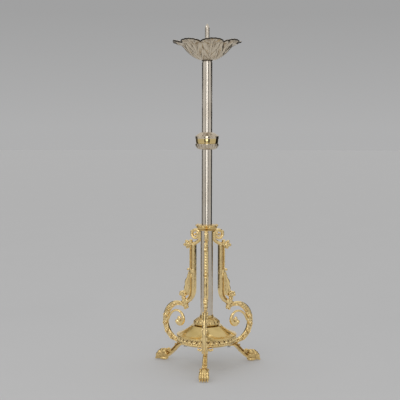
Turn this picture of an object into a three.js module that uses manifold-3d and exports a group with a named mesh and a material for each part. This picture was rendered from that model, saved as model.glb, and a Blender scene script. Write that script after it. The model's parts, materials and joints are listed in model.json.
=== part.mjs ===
// A paschal candlestick: a cast brass tripod of scrolls and lion paws, a two-part nickel
// column with a knop between its tubes, and an acanthus drip pan around a pricket.
// Millimetres, +Z up. The origin is on the column's axis at floor level, and one foot
// points to -Y.
import * as THREE from "three";
import { mergeVertices } from "three/addons/utils/BufferGeometryUtils.js";
import Module from "manifold-3d";

const wasm = await Module();
wasm.setup();

// Fits
const FIT = 0.3; // gap left around a piece that sits in a bore or against a curved wall
const SLIP = 0.5; // gap around the pricket in the loose pan's hole
const ROUND = 24; // flats on a slim turned piece, a multiple of three for the three legs
const ROUND_WIDE = 30; // flats on a broad turned piece

// Heights of the column above the floor
const TIP_Z = 1150; // tip of the pricket
const KNOP_SPLIT_Z = 777; // where the upper column parts from the lower one
const COLUMN_STEP_Z = 467; // top of the wide base tube, foot of the middle tube
const PLATE_Z = 84; // underside of the base plate

// Column
const UPPER_R = 17.4; // upper and middle tube, outside
const BASE_TUBE_R = 21;
const WALL = 2;
const PRICKET_R = 7.5;
const PRICKET_LENGTH = 116; // from the pan's seat to the tip
const PRICKET_POINT = 12; // length of the blunt point
const PRICKET_END_R = 1.6;
const STUD_R = 4;
const STUD_LENGTH = 24;
const SEAT_CAP = 6;
const SEAT_PLUG = 28;

// Drip pan
const PAN_R = 115; // tip of a petal
const PAN_FLOOR_R = 24;
const PAN_RISE = 66; // crest of a petal above the pan's underside
const PAN_WALL = 2.8;
const PETALS = 8;
const PETAL_STEPS = 12; // steps round each petal, four to a lobe
const PETAL_TURN = 12.5; // degrees from +X to the middle of a petal
const PETAL_NOTCH = 15; // how far the rim draws in between petals
const PETAL_LOBE = 3;
const PETAL_DROP = 9; // how far the rim comes down between petals
const PETAL_RIB = 2; // midrib of each petal, on the underside

// Knop
const KNOP_R = 39.5;
const BAND_R = 38.3;
const BAND_HEIGHT = 22;
const BAND_WALL = 3.5;
const CUP_HEIGHT = 16;
const LOWER_CUP_HEIGHT = 20;
const CUP_WALL = 3;
const SPIGOT_R = 12.5;
const SPIGOT_LENGTH = 70; // below the split
const SPIGOT_PLUG = 46;
const FLANGE = 4;

// Collar and the pieces inside the base tube
const COLLAR_R = 36.5;
const COLLAR_HEIGHT = 22;
const COLLAR_SKIRT = 3; // overlap down the base tube
const COUPLING_BELOW = 50;
const COUPLING_ABOVE = 40;
const ROD_R = 4;
const ROD_HEAD_R = 7.5;
const ROD_HEAD = 6;
const NUT = 7;
const WASHER_R = 14;
const WASHER = 2;
const ROD_TAIL = 4;

// Base
const PLATE = 6;
const GALLERY_R = 101.5;
const PLATE_SET_IN = 2.5; // the plate's edge stands back from the gallery's
const GALLERY_WALL = 7;
const GALLERY_HEIGHT = 20;
const DOME_HEIGHT = 33;
const DOME_CROWN_R = 50;
const DOME_WALL = 2.6;
const KNOB_R = 46;
const KNOB_HEIGHT = 27;
const GADROONS = 12;
const GADROON_DEPTH = 1.6;
const NECK_RING_R = 24.2;
const NECK_RING_HEIGHT = 8;

// Scroll brackets, measured in the plane of each leg: out from the axis and up
const LEG_AZIMUTHS = [-90, 30, 150];
const BAR_AXIS = 56.5; // distance of the upright bar from the axis
const BAR_WIDTH = 21;
const BAR_DEPTH = 14; // across the leg
const BAR_TOP_Z = 414;
const BAR_FOOT_Z = 262;
const SCROLL_DEPTH = 13;
const SCROLL_WIDTH = 19.5;
const SCROLL_AXIS = 113; // centre of the big C
const SCROLL_Z = 141;
const SCROLL_A = 55.5; // half its breadth
const SCROLL_B = 64; // half its height
const VOLUTE_AXIS = 47.5;
const VOLUTE_Z = 448;
const VOLUTE_R = 14;
const TENDRIL_AXIS = 114;
const TENDRIL_Z = 148;
const TENDRIL_R = 12.5;
const PAD_DEPTH = 9; // pad of the bracket against the base tube
const PAD_HEIGHT = 30;
const TONGUE = 12; // lug under the base plate, of the bracket and of the foot
const TONGUE_IN = 70; // its inner end, from the axis
const TONGUE_WIDTH = 19;
const LEAF = 10; // module of the leaves, buds and beads on the casting

// Paw feet
const FOOT_WIDTH = 18;
const FOOT_BAR = 13;
const PAW_AXIS = 185; // middle of the paw
const PAW_LENGTH = 44;
const PAW_WIDTH = 35;
const PAW_HEIGHT = 40;
const TOES = 4;
const TOE_R = 5.4;

// Screws
const PAD_SCREW_R = 2.4;
const PAD_SCREW_HEAD_R = 4.4;
const PAD_SCREW_HEAD = 3;
const PAD_SCREW_LENGTH = 18;
const PAD_SCREW_Z = 444;
const FOOT_SCREW_R = 3;
const FOOT_SCREW_HEAD_R = 6;
const FOOT_SCREW_HEAD = 4;
const FOOT_SCREW_SET_IN = 13; // from the plate's edge

// Heights and radii that follow from the sizes above
const PAN_Z = TIP_Z - PRICKET_LENGTH; // underside of the drip pan
const PLATE_R = GALLERY_R - PLATE_SET_IN;
const FOOT_SCREW_AXIS = PLATE_R - FOOT_SCREW_SET_IN;
const BORE_R = UPPER_R - WALL; // inside the upper and middle tubes
const BASE_BORE_R = BASE_TUBE_R - WALL;
const UPPER_TUBE_TOP_Z = PAN_Z - SEAT_CAP;
const CUP_FLOOR_Z = KNOP_SPLIT_Z + CUP_WALL;
const UPPER_TUBE_Z = CUP_FLOOR_Z + FLANGE;
const BAND_Z = KNOP_SPLIT_Z - BAND_HEIGHT;
const MIDDLE_TUBE_TOP_Z = KNOP_SPLIT_Z - 2 * FLANGE;
const PLATE_TOP_Z = PLATE_Z + PLATE;
const GALLERY_TOP_Z = PLATE_TOP_Z + GALLERY_HEIGHT;
const DOME_TOP_Z = GALLERY_TOP_Z + DOME_HEIGHT;
const KNOB_TOP_Z = DOME_TOP_Z + KNOB_HEIGHT;
const BASE_SLEEVE_R = BASE_TUBE_R + FIT; // bore of what is threaded on the base tube
const PAD_FACE_R = BASE_SLEEVE_R + PAD_DEPTH;

// Metals
const nickel = { color: 0xbfb6a8, metalness: 1, roughness: 0.16 };
const castNickel = { color: 0xa89a80, metalness: 1, roughness: 0.3 };
const polishedBrass = { color: 0xd9a441, metalness: 1, roughness: 0.15 };
const castBrass = { color: 0xcf9730, metalness: 1, roughness: 0.27 };
const steel = { color: 0x86888b, metalness: 1, roughness: 0.42 };

const rad = THREE.MathUtils.degToRad;
const v2 = (x, y) => new THREE.Vector2(x, y);

// A closed geometry as a solid, for cutting and joining.
function solidOf(geometry) {
  const bare = geometry.clone();
  bare.deleteAttribute("normal");
  bare.deleteAttribute("uv");
  const merged = mergeVertices(bare, 1e-4);
  return new wasm.Manifold(
    new wasm.Mesh({
      numProp: 3,
      vertProperties: merged.attributes.position.array,
      triVerts: new Uint32Array(merged.index.array),
    }),
  );
}

function geometryOf(solid) {
  const mesh = solid.getMesh();
  const geometry = new THREE.BufferGeometry();
  geometry.setAttribute(
    "position",
    new THREE.BufferAttribute(new Float32Array(mesh.vertProperties), 3),
  );
  geometry.setIndex(new THREE.BufferAttribute(new Uint32Array(mesh.triVerts), 1));
  geometry.computeVertexNormals();
  return geometry;
}

function join(geometries) {
  return geometries.map(solidOf).reduce((whole, piece) => whole.add(piece));
}

function named(name, geometry, look) {
  const mesh = new THREE.Mesh(geometry, new THREE.MeshStandardMaterial(look));
  mesh.name = name;
  return mesh;
}

// A turned piece about +Z from [radius, height] pairs listed up its outside. The profile
// closes on itself where the piece is bored, and ends on the axis where it is not.
function turned(profile, flats = ROUND) {
  const points = profile.map(([r, z]) => v2(r, z));
  const bored = profile[0][0] > 0;
  if (bored) points.push(points[0].clone());
  return new THREE.LatheGeometry(points, flats).rotateX(Math.PI / 2);
}

function tube(outer, inner, bottom, top, flats = ROUND) {
  return turned(
    [
      [inner, bottom],
      [outer, bottom],
      [outer, top],
      [inner, top],
    ],
    flats,
  );
}

// A round rod about +Z.
function rod(radius, bottom, top, flats = 8) {
  return new THREE.CylinderGeometry(radius, radius, top - bottom, flats)
    .rotateX(Math.PI / 2)
    .translate(0, 0, (bottom + top) / 2);
}

// A round rod lying out from the axis, in the frame of one leg.
function radialRod(radius, inner, outer, z, flats = 8) {
  return new THREE.CylinderGeometry(radius, radius, outer - inner, flats)
    .rotateZ(-Math.PI / 2)
    .translate((inner + outer) / 2, 0, z);
}

// A flat shape drawn in a leg's plane, given its thickness across the leg and chamfered.
function plate(shape, thickness, chamfer, steps = 6) {
  const geometry = new THREE.ExtrudeGeometry(shape, {
    depth: thickness - 2 * chamfer,
    bevelEnabled: chamfer > 0,
    bevelThickness: chamfer,
    bevelSize: chamfer,
    bevelOffset: -chamfer,
    bevelSegments: 1,
    curveSegments: steps,
  });
  return geometry.translate(0, 0, chamfer - thickness / 2);
}

// Stands a plate drawn as (out, up) upright in the leg's plane.
const upright = (geometry) => geometry.rotateX(Math.PI / 2);

// The outline of a band that follows a curve, its width changing from one end to the other.
function ribbon(curve, widthAt, steps) {
  const left = [];
  const right = [];
  for (let i = 0; i <= steps; i++) {
    const t = i / steps;
    const at = curve.getPoint(t);
    const along = curve.getTangent(t);
    const half = widthAt(t) / 2;
    left.push(v2(at.x - along.y * half, at.y + along.x * half));
    right.push(v2(at.x + along.y * half, at.y - along.x * half));
  }
  return new THREE.Shape(left.concat(right.reverse()));
}

function strand(curve, widthAt, steps, thickness, chamfer) {
  return upright(plate(ribbon(curve, widthAt, steps), thickness, chamfer));
}

// A spiral that swings in from its start towards a ring of the core radius.
class Scroll extends THREE.Curve {
  constructor(centre, start, core, from, to, fade) {
    super();
    Object.assign(this, { centre, start, core, from: rad(from), to: rad(to), fade });
  }

  getPoint(t, target = new THREE.Vector2()) {
    const turn = (this.to - this.from) * t;
    const reach = (this.start - this.core) * Math.exp(-Math.abs(turn) / this.fade);
    const angle = this.from + turn;
    return target.set(
      this.centre.x + (this.core + reach) * Math.cos(angle),
      this.centre.y + (this.core + reach) * Math.sin(angle),
    );
  }
}

// A pointed leaf from its stalk at (out, up), leaning by an angle from the outward line.
function leaf(length, breadth, out, up, lean, thickness) {
  const shape = new THREE.Shape();
  shape.moveTo(0, 0);
  shape.quadraticCurveTo(length * 0.4, breadth, length, 0);
  shape.quadraticCurveTo(length * 0.4, -breadth, 0, 0);
  return upright(plate(shape, thickness, 0, 4).rotateZ(rad(lean)).translate(out, up, 0));
}

function ball(out, across, up, size, round = 8) {
  return new THREE.SphereGeometry(1, round, Math.max(4, round / 2))
    .rotateX(Math.PI / 2)
    .scale(size[0], size[1], size[2])
    .translate(out, across, up);
}

// A geometry made in one leg's frame, turned to each leg in turn.
function atEachLeg(make) {
  return LEG_AZIMUTHS.map((azimuth) => make().rotateZ(rad(azimuth)));
}

function cutAll(geometry, cutters) {
  return geometryOf(cutters.map(solidOf).reduce((left, cut) => left.subtract(cut), solidOf(geometry)));
}

// The spike that holds the candle, with a plain stud that goes down into the seat.
function makePricket() {
  return turned(
    [
      [0, PAN_Z - STUD_LENGTH],
      [STUD_R, PAN_Z - STUD_LENGTH],
      [STUD_R, PAN_Z],
      [PRICKET_R, PAN_Z],
      [PRICKET_R, TIP_Z - PRICKET_POINT],
      [PRICKET_R * 0.72, TIP_Z - PRICKET_POINT * 0.4],
      [PRICKET_END_R, TIP_Z],
      [0, TIP_Z],
    ],
    18,
  );
}

// Cap and plug that close the upper tube and carry the pan.
function makePanSeat() {
  return turned([
    [0, UPPER_TUBE_TOP_Z - SEAT_PLUG],
    [BORE_R - FIT, UPPER_TUBE_TOP_Z - SEAT_PLUG],
    [BORE_R - FIT, UPPER_TUBE_TOP_Z],
    [UPPER_R, UPPER_TUBE_TOP_Z],
    [UPPER_R, PAN_Z],
    [STUD_R + FIT, PAN_Z],
    [STUD_R + FIT, PAN_Z - STUD_LENGTH - 2 * FIT],
    [0, PAN_Z - STUD_LENGTH - 2 * FIT],
  ]);
}

// A bowl of eight out-turned acanthus petals, each with a rim of three lobes. The bowl is
// turned first, and each ring of it is then drawn in and let down between the petals.
function makeDripPan() {
  const span = PAN_R - PAN_FLOOR_R;
  const under = [
    [0, 0],
    [0.13, 0.09],
    [0.29, 0.24],
    [0.42, 0.4],
    [0.53, 0.57],
    [0.62, 0.7],
    [0.71, 0.77],
    [0.84, 0.84],
    [1, 0.94],
  ];
  const hole = [PRICKET_R + SLIP, PAN_Z];
  const outside = under.map(([out, up]) => [PAN_FLOOR_R + out * span, PAN_Z + up * PAN_RISE]);
  const crest = PAN_Z + PAN_RISE;
  const inside = [
    [PAN_R - 1, crest],
    [PAN_FLOOR_R + 0.84 * span, PAN_Z + 0.89 * PAN_RISE],
    [PAN_FLOOR_R + 0.7 * span, PAN_Z + 0.82 * PAN_RISE],
    [PAN_FLOOR_R + 0.6 * span, PAN_Z + 0.74 * PAN_RISE],
    [PAN_FLOOR_R + 0.5 * span, PAN_Z + 0.59 * PAN_RISE],
    [PAN_FLOOR_R + 0.38 * span, PAN_Z + 0.42 * PAN_RISE],
    [PAN_FLOOR_R + 0.25 * span, PAN_Z + 0.26 * PAN_RISE],
    [PAN_FLOOR_R + 0.1 * span, PAN_Z + 0.12 * PAN_RISE],
    [PAN_FLOOR_R - PAN_WALL, PAN_Z + PAN_WALL],
    [PRICKET_R + SLIP, PAN_Z + PAN_WALL],
  ];
  const geometry = turned([hole, ...outside, ...inside], PETALS * PETAL_STEPS);
  const place = geometry.attributes.position;
  for (let i = 0; i < place.count; i++) {
    const x = place.getX(i);
    const y = place.getY(i);
    const r = Math.hypot(x, y);
    const share = THREE.MathUtils.clamp((r - PAN_FLOOR_R) / span, 0, 1);
    const phase = Math.atan2(y, x) - rad(PETAL_TURN);
    const notch = 1 - Math.abs(Math.cos((PETALS * phase) / 2)) ** 0.7;
    const lobe = (1 - Math.cos(PETALS * 3 * phase + Math.PI)) / 2 - 1;
    const drawn = share ** 2 * (PETAL_NOTCH * notch - PETAL_LOBE * lobe - PETAL_LOBE);
    const scale = (r - Math.max(drawn, 0)) / r;
    const fold = Math.sin(Math.PI * share) * Math.abs(Math.cos((PETALS * phase) / 2)) ** 8;
    const dropped = share ** 2 * PETAL_DROP * (notch + 0.22 * Math.abs(lobe + 0.5)) + PETAL_RIB * fold;
    place.setXYZ(i, x * scale, y * scale, place.getZ(i) - dropped);
  }
  return geometry;
}

// The turned plug that ends the upper column and drops into the knop's socket.
function makeKnopSpigot() {
  return turned([
    [0, KNOP_SPLIT_Z - SPIGOT_LENGTH],
    [SPIGOT_R - 3, KNOP_SPLIT_Z - SPIGOT_LENGTH],
    [SPIGOT_R, KNOP_SPLIT_Z - SPIGOT_LENGTH + 3],
    [SPIGOT_R, CUP_FLOOR_Z],
    [UPPER_R, CUP_FLOOR_Z],
    [UPPER_R, UPPER_TUBE_Z],
    [BORE_R - FIT, UPPER_TUBE_Z],
    [BORE_R - FIT, UPPER_TUBE_Z + SPIGOT_PLUG],
    [0, UPPER_TUBE_Z + SPIGOT_PLUG],
  ]);
}

// The upper half of the knop: a shallow cup turned over, with a floor the spigot sits on.
function makeUpperCup() {
  const top = KNOP_SPLIT_Z + CUP_HEIGHT;
  return turned([
    [SPIGOT_R + FIT, KNOP_SPLIT_Z],
    [KNOP_R, KNOP_SPLIT_Z],
    [KNOP_R, KNOP_SPLIT_Z + CUP_HEIGHT * 0.15],
    [KNOP_R - 1.3, KNOP_SPLIT_Z + CUP_HEIGHT * 0.28],
    [KNOP_R - 5.5, KNOP_SPLIT_Z + CUP_HEIGHT * 0.48],
    [KNOP_R - 11.5, KNOP_SPLIT_Z + CUP_HEIGHT * 0.74],
    [UPPER_R + 4, KNOP_SPLIT_Z + CUP_HEIGHT * 0.95],
    [UPPER_R + 1, top],
    [UPPER_R + FIT, top],
    [UPPER_R + FIT, top - CUP_WALL],
    [UPPER_R + 4, top - CUP_WALL - 0.8],
    [KNOP_R - 11.5, KNOP_SPLIT_Z + CUP_HEIGHT * 0.52],
    [KNOP_R - 2.2 * CUP_WALL, CUP_FLOOR_Z + 0.6],
    [KNOP_R - 2.2 * CUP_WALL, CUP_FLOOR_Z],
    [SPIGOT_R + FIT, CUP_FLOOR_Z],
  ], ROUND_WIDE);
}

function makeKnopBand() {
  return tube(BAND_R, BAND_R - BAND_WALL, BAND_Z, KNOP_SPLIT_Z, ROUND_WIDE);
}

// The lower half of the knop, fixed on the middle tube.
function makeLowerCup() {
  const foot = BAND_Z - LOWER_CUP_HEIGHT;
  const inner = BAND_R - BAND_WALL - 1;
  return turned([
    [UPPER_R + FIT, foot],
    [UPPER_R + 2.5, foot],
    [KNOP_R - 14.5, foot + LOWER_CUP_HEIGHT * 0.06],
    [KNOP_R - 9, foot + LOWER_CUP_HEIGHT * 0.2],
    [KNOP_R - 4.5, foot + LOWER_CUP_HEIGHT * 0.42],
    [KNOP_R - 1.5, foot + LOWER_CUP_HEIGHT * 0.7],
    [KNOP_R, foot + LOWER_CUP_HEIGHT * 0.93],
    [KNOP_R, BAND_Z],
    [inner, BAND_Z],
    [inner - 1, foot + LOWER_CUP_HEIGHT * 0.7],
    [inner - 4, foot + LOWER_CUP_HEIGHT * 0.45],
    [inner - 9, foot + LOWER_CUP_HEIGHT * 0.27],
    [UPPER_R + FIT, foot + 1.3 * CUP_WALL],
  ], ROUND_WIDE);
}

// The sleeve in the top of the middle tube that takes the spigot.
function makeKnopSocket() {
  const bore = SPIGOT_R + FIT;
  const bottom = KNOP_SPLIT_Z - SPIGOT_LENGTH - 6;
  return turned([
    [bore, bottom],
    [BORE_R - FIT, bottom],
    [BORE_R - FIT, MIDDLE_TUBE_TOP_Z],
    [UPPER_R, MIDDLE_TUBE_TOP_Z],
    [UPPER_R, MIDDLE_TUBE_TOP_Z + FLANGE],
    [bore, MIDDLE_TUBE_TOP_Z + FLANGE],
  ]);
}

// The crown of leaves where the column steps down from the base tube to the middle tube.
function makeTopCollar() {
  const bottom = COLUMN_STEP_Z - COLLAR_SKIRT;
  const top = bottom + COLLAR_HEIGHT;
  const bore = UPPER_R + FIT;
  const geometry = turned([
    [BASE_SLEEVE_R, bottom],
    [BASE_SLEEVE_R + 2.5, bottom],
    [COLLAR_R - 6, bottom + COLLAR_HEIGHT * 0.36],
    [COLLAR_R - 1, bottom + COLLAR_HEIGHT * 0.66],
    [COLLAR_R, top - 3],
    [COLLAR_R - 3, top],
    [bore + 3, top - 4],
    [bore, top - 4],
    [bore, COLUMN_STEP_Z],
    [BASE_SLEEVE_R, COLUMN_STEP_Z],
  ], ROUND_WIDE);
  return geometry;
}

// The turned piece that ties the two tubes: a plug in each, with a shoulder between them.
function makeCoupling() {
  const bore = ROD_R + FIT;
  const body = turned([
    [bore, COLUMN_STEP_Z - COUPLING_BELOW],
    [BASE_BORE_R - FIT, COLUMN_STEP_Z - COUPLING_BELOW],
    [BASE_BORE_R - FIT, COLUMN_STEP_Z],
    [BORE_R - FIT, COLUMN_STEP_Z],
    [BORE_R - FIT, COLUMN_STEP_Z + COUPLING_ABOVE],
    [bore, COLUMN_STEP_Z + COUPLING_ABOVE],
  ]);
  return cutAll(body, padScrewHoles());
}

function makeBaseTube() {
  return cutAll(tube(BASE_TUBE_R, BASE_BORE_R, PLATE_TOP_Z, COLUMN_STEP_Z), padScrewHoles());
}

function padScrewHoles() {
  const inner = PAD_FACE_R - PAD_SCREW_LENGTH - FIT;
  return atEachLeg(() => radialRod(PAD_SCREW_R + FIT, inner, PAD_FACE_R + 1, PAD_SCREW_Z));
}

// The long bolt that clamps coupling, tube and base plate together.
function makeTieRod() {
  const head = COLUMN_STEP_Z + COUPLING_ABOVE;
  const tail = PLATE_Z - WASHER - NUT - ROD_TAIL;
  return geometryOf(join([rod(ROD_R, tail, head + 1), rod(ROD_HEAD_R, head, head + ROD_HEAD, 6)]));
}

function makeWasher() {
  return turned(
    [
      [ROD_R + FIT, PLATE_Z - WASHER],
      [WASHER_R, PLATE_Z - WASHER],
      [WASHER_R, PLATE_Z],
      [ROD_R + FIT, PLATE_Z],
    ],
    18,
  );
}

function makeNut() {
  const top = PLATE_Z - WASHER;
  return cutAll(rod(ROD_HEAD_R, top - NUT, top, 6), [rod(ROD_R + FIT, top - NUT - 1, top + 1)]);
}

function makeNeckRing() {
  const half = NECK_RING_HEIGHT / 2;
  return turned([
    [BASE_SLEEVE_R, KNOB_TOP_Z],
    [NECK_RING_R - 1.5, KNOB_TOP_Z],
    [NECK_RING_R, KNOB_TOP_Z + half * 0.6],
    [NECK_RING_R, KNOB_TOP_Z + half * 1.4],
    [NECK_RING_R - 1.5, KNOB_TOP_Z + 2 * half],
    [BASE_SLEEVE_R, KNOB_TOP_Z + 2 * half],
  ]);
}

// The swelling at the foot of the column, with gadroons round its belly.
function makeDomeKnob() {
  const h = KNOB_HEIGHT;
  const geometry = turned(
    [
      [BASE_SLEEVE_R, DOME_TOP_Z],
      [KNOB_R - 5, DOME_TOP_Z],
      [KNOB_R - 1, DOME_TOP_Z + h * 0.14],
      [KNOB_R, DOME_TOP_Z + h * 0.3],
      [KNOB_R - 3, DOME_TOP_Z + h * 0.48],
      [KNOB_R - 11, DOME_TOP_Z + h * 0.64],
      [NECK_RING_R + 1, DOME_TOP_Z + h * 0.8],
      [NECK_RING_R - 1, KNOB_TOP_Z],
      [BASE_SLEEVE_R, KNOB_TOP_Z],
    ],
    GADROONS * 3,
  );
  const place = geometry.attributes.position;
  for (let i = 0; i < place.count; i++) {
    const x = place.getX(i);
    const y = place.getY(i);
    const r = Math.hypot(x, y);
    if (r < NECK_RING_R + 2) continue;
    const groove = (1 + Math.cos(GADROONS * Math.atan2(y, x))) / 2;
    const scale = (r - GADROON_DEPTH * groove) / r;
    place.setXYZ(i, x * scale, y * scale, place.getZ(i));
  }
  return geometry;
}

// The polished ogee dome, a thin shell whose lip stands on the gallery.
function makeBaseDome() {
  const rise = DOME_HEIGHT;
  const skirt = GALLERY_R - DOME_CROWN_R;
  const z = (share) => GALLERY_TOP_Z + share * rise;
  const r = (share) => DOME_CROWN_R + share * skirt;
  const outside = [
    [r(1), z(0)],
    [r(1), z(0.07)],
    [r(0.92), z(0.11)],
    [r(0.7), z(0.23)],
    [r(0.47), z(0.43)],
    [r(0.23), z(0.7)],
    [r(0.08), z(0.9)],
    [r(0), z(1)],
  ];
  const inside = outside.map(([radius, height]) => [radius - 0.9 * DOME_WALL, height - DOME_WALL]).reverse();
  return turned([
    [GALLERY_R - GALLERY_WALL + 1, GALLERY_TOP_Z],
    ...outside,
    [BASE_SLEEVE_R, DOME_TOP_Z],
    [BASE_SLEEVE_R, DOME_TOP_Z - DOME_WALL],
    ...inside.slice(0, -2),
  ], ROUND_WIDE);
}

// The ornamental band under the dome's lip.
function makeGallery() {
  const inner = GALLERY_R - GALLERY_WALL;
  const h = GALLERY_HEIGHT;
  return turned(
    [
      [inner, PLATE_TOP_Z],
      [GALLERY_R - 3.5, PLATE_TOP_Z],
      [GALLERY_R - 1, PLATE_TOP_Z + h * 0.2],
      [GALLERY_R - 1, PLATE_TOP_Z + h * 0.75],
      [GALLERY_R, PLATE_TOP_Z + h * 0.85],
      [GALLERY_R, GALLERY_TOP_Z],
      [inner, GALLERY_TOP_Z],
    ],
    ROUND_WIDE,
  );
}

function makeBasePlate() {
  const holes = atEachLeg(() =>
    rod(FOOT_SCREW_R + FIT, PLATE_Z - 1, PLATE_TOP_Z + 1).translate(FOOT_SCREW_AXIS, 0, 0),
  );
  return cutAll(
    turned(
      [
        [ROD_R + FIT, PLATE_Z],
        [PLATE_R - 1.5, PLATE_Z],
        [PLATE_R, PLATE_Z + 1.5],
        [PLATE_R, PLATE_TOP_Z],
        [ROD_R + FIT, PLATE_TOP_Z],
      ],
      ROUND_WIDE,
    ),
    holes,
  );
}

// One cast scroll bracket, in the frame of its leg with +X outward.
function makeBracket() {
  const lerp = THREE.MathUtils.lerp;
  const wave = (from, to) => (t) => lerp(from, to, t);

  // The big C, thickest down its back, from the calyx round to the lug.
  const bigC = new THREE.EllipseCurve(
    SCROLL_AXIS,
    SCROLL_Z,
    SCROLL_A,
    SCROLL_B,
    rad(122),
    rad(-92),
    true,
  );
  const eased = THREE.MathUtils.smoothstep;
  const cWidth = (t) => SCROLL_WIDTH * (0.56 + 0.44 * eased(t, 0, 0.4) - 0.48 * eased(t, 0.8, 1));
  const scroll = strand(bigC, cWidth, 15, SCROLL_DEPTH, 2.5);

  // The lug under the base plate that the C runs into.
  const lugTop = PLATE_Z;
  const lug = new THREE.BoxGeometry(SCROLL_AXIS - TONGUE_IN, TONGUE_WIDTH, TONGUE).translate(
    (SCROLL_AXIS + TONGUE_IN) / 2,
    0,
    lugTop - TONGUE / 2,
  );

  // The upright bar, then its foot that curves out into the calyx.
  const bar = new THREE.LineCurve(v2(BAR_AXIS, BAR_TOP_Z), v2(BAR_AXIS, BAR_FOOT_Z));
  const upstand = strand(bar, () => BAR_WIDTH, 1, BAR_DEPTH, 2.5);
  const calyx = v2(SCROLL_AXIS - 0.43 * SCROLL_A, SCROLL_Z + 1.05 * SCROLL_B);
  const hook = new THREE.CubicBezierCurve(
    v2(BAR_AXIS, BAR_FOOT_Z + 1),
    v2(BAR_AXIS, BAR_FOOT_Z - 24),
    v2(BAR_AXIS + 5, calyx.y + 15),
    v2(calyx.x + 2, calyx.y + 4),
  );
  const hookBar = strand(hook, wave(BAR_WIDTH, 12), 6, BAR_DEPTH, 2.5);

  // The arm at the top, from the pad on the base tube down and out to a leaf.
  const armEnd = v2(BAR_AXIS + 14, BAR_TOP_Z - 2);
  const arm = new THREE.CubicBezierCurve(
    v2(BASE_TUBE_R + 4, PAD_SCREW_Z - 6),
    v2(BASE_TUBE_R + 8, BAR_TOP_Z + 13),
    v2(BAR_AXIS - 10, BAR_TOP_Z),
    armEnd,
  );
  const armBar = strand(arm, wave(13, 10), 6, SCROLL_DEPTH, 0);

  // The volute over the arm, its start tied to the top of the pad.
  const volute = new Scroll(v2(VOLUTE_AXIS, VOLUTE_Z), 1.6 * VOLUTE_R, 0.86 * VOLUTE_R, 154, -205, 0.9);
  const voluteBar = strand(volute, wave(9.6, 8), 14, SCROLL_DEPTH - 2, 0);

  // The tendril that springs from the inside of the C and curls in on itself.
  const reach = SCROLL_AXIS + SCROLL_A - TENDRIL_AXIS - 8;
  const tendril = new Scroll(v2(TENDRIL_AXIS, TENDRIL_Z), reach, TENDRIL_R, -6, 395, 1.85);
  const tendrilBar = strand(tendril, wave(9.5, 8), 17, SCROLL_DEPTH - 4, 0);
  const voluteEnd = volute.getPoint(1);
  const tendrilEnd = tendril.getPoint(1);

  const pad = new THREE.BoxGeometry(PAD_DEPTH + 3, SCROLL_DEPTH, PAD_HEIGHT).translate(
    PAD_FACE_R - (PAD_DEPTH + 3) / 2,
    0,
    PAD_SCREW_Z,
  );
  const knotZ = (BAR_TOP_Z + BAR_FOOT_Z) / 2 - 1.6 * LEAF;

  // A leaf, its length, breadth, root and thickness given in modules of the casting.
  const sprig = (length, breadth, at, out, up, lean, thickness) =>
    leaf(length * LEAF, breadth * LEAF, at.x + out * LEAF, at.y + up * LEAF, lean, thickness * LEAF);
  const bead = (at, out, up, size, round) =>
    ball(at.x + out * LEAF, 0, at.y + up * LEAF, size.map((part) => part * LEAF), round);
  const knot = v2(BAR_AXIS, knotZ);
  const trim = [
    bead(voluteEnd, 0.3, -0.2, [0.5, 0.66, 0.5], 6),
    bead(tendrilEnd, 0, 0, [0.85, 0.6, 0.85], 8),
    sprig(2, 1.4, armEnd, -0.5, -0.2, 34, 0.9),
    sprig(2.2, 1.1, armEnd, -0.7, 0.1, -8, 0.9),
    sprig(1.7, 0.9, armEnd, -0.5, 0, -52, 0.8),
    bead(knot, 0, 0, [1.4, 0.9, 0.7]),
    sprig(1.9, 1.1, knot, 0.2, -0.1, 4, 0.8),
    sprig(6.4, 1.7, knot, 0.3, -1, -63, 0.6),
    bead(calyx, 0.7, 3.1, [1.3, 0.9, 1.3]),
    sprig(3.4, 1.8, calyx, 0.7, 3.3, -98, 0.9),
    sprig(4.6, 1.7, calyx, -3.1, 1, -10, 1.2),
    sprig(2.7, 1.4, calyx, -0.8, 0.3, -74, 1),
    sprig(2.4, 1.2, calyx, -0.4, 0.4, -112, 1),
  ];
  const whole = join([scroll, lug, upstand, hookBar, armBar, voluteBar, tendrilBar, pad, ...trim]);

  // The saddle that fits the base tube, the two screw holes, and a spot-face for a head.
  const sleeve = new THREE.CylinderGeometry(
    BASE_SLEEVE_R,
    BASE_SLEEVE_R,
    3 * PAD_HEIGHT,
    ROUND,
  )
    .rotateX(Math.PI / 2)
    .rotateZ(Math.PI / 2)
    .translate(0, 0, PAD_SCREW_Z);
  const cuts = [
    sleeve,
    radialRod(PAD_SCREW_R + FIT, BASE_TUBE_R - 4, PAD_FACE_R + 1, PAD_SCREW_Z),
    radialRod(PAD_SCREW_HEAD_R + FIT, PAD_FACE_R, PAD_FACE_R + PAD_SCREW_HEAD + FIT, PAD_SCREW_Z),
    rod(FOOT_SCREW_R + FIT, PLATE_Z - TONGUE - 1, PLATE_Z + 1).translate(FOOT_SCREW_AXIS, 0, 0),
  ];
  return geometryOf(cuts.map(solidOf).reduce((left, cut) => left.subtract(cut), whole));
}

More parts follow.
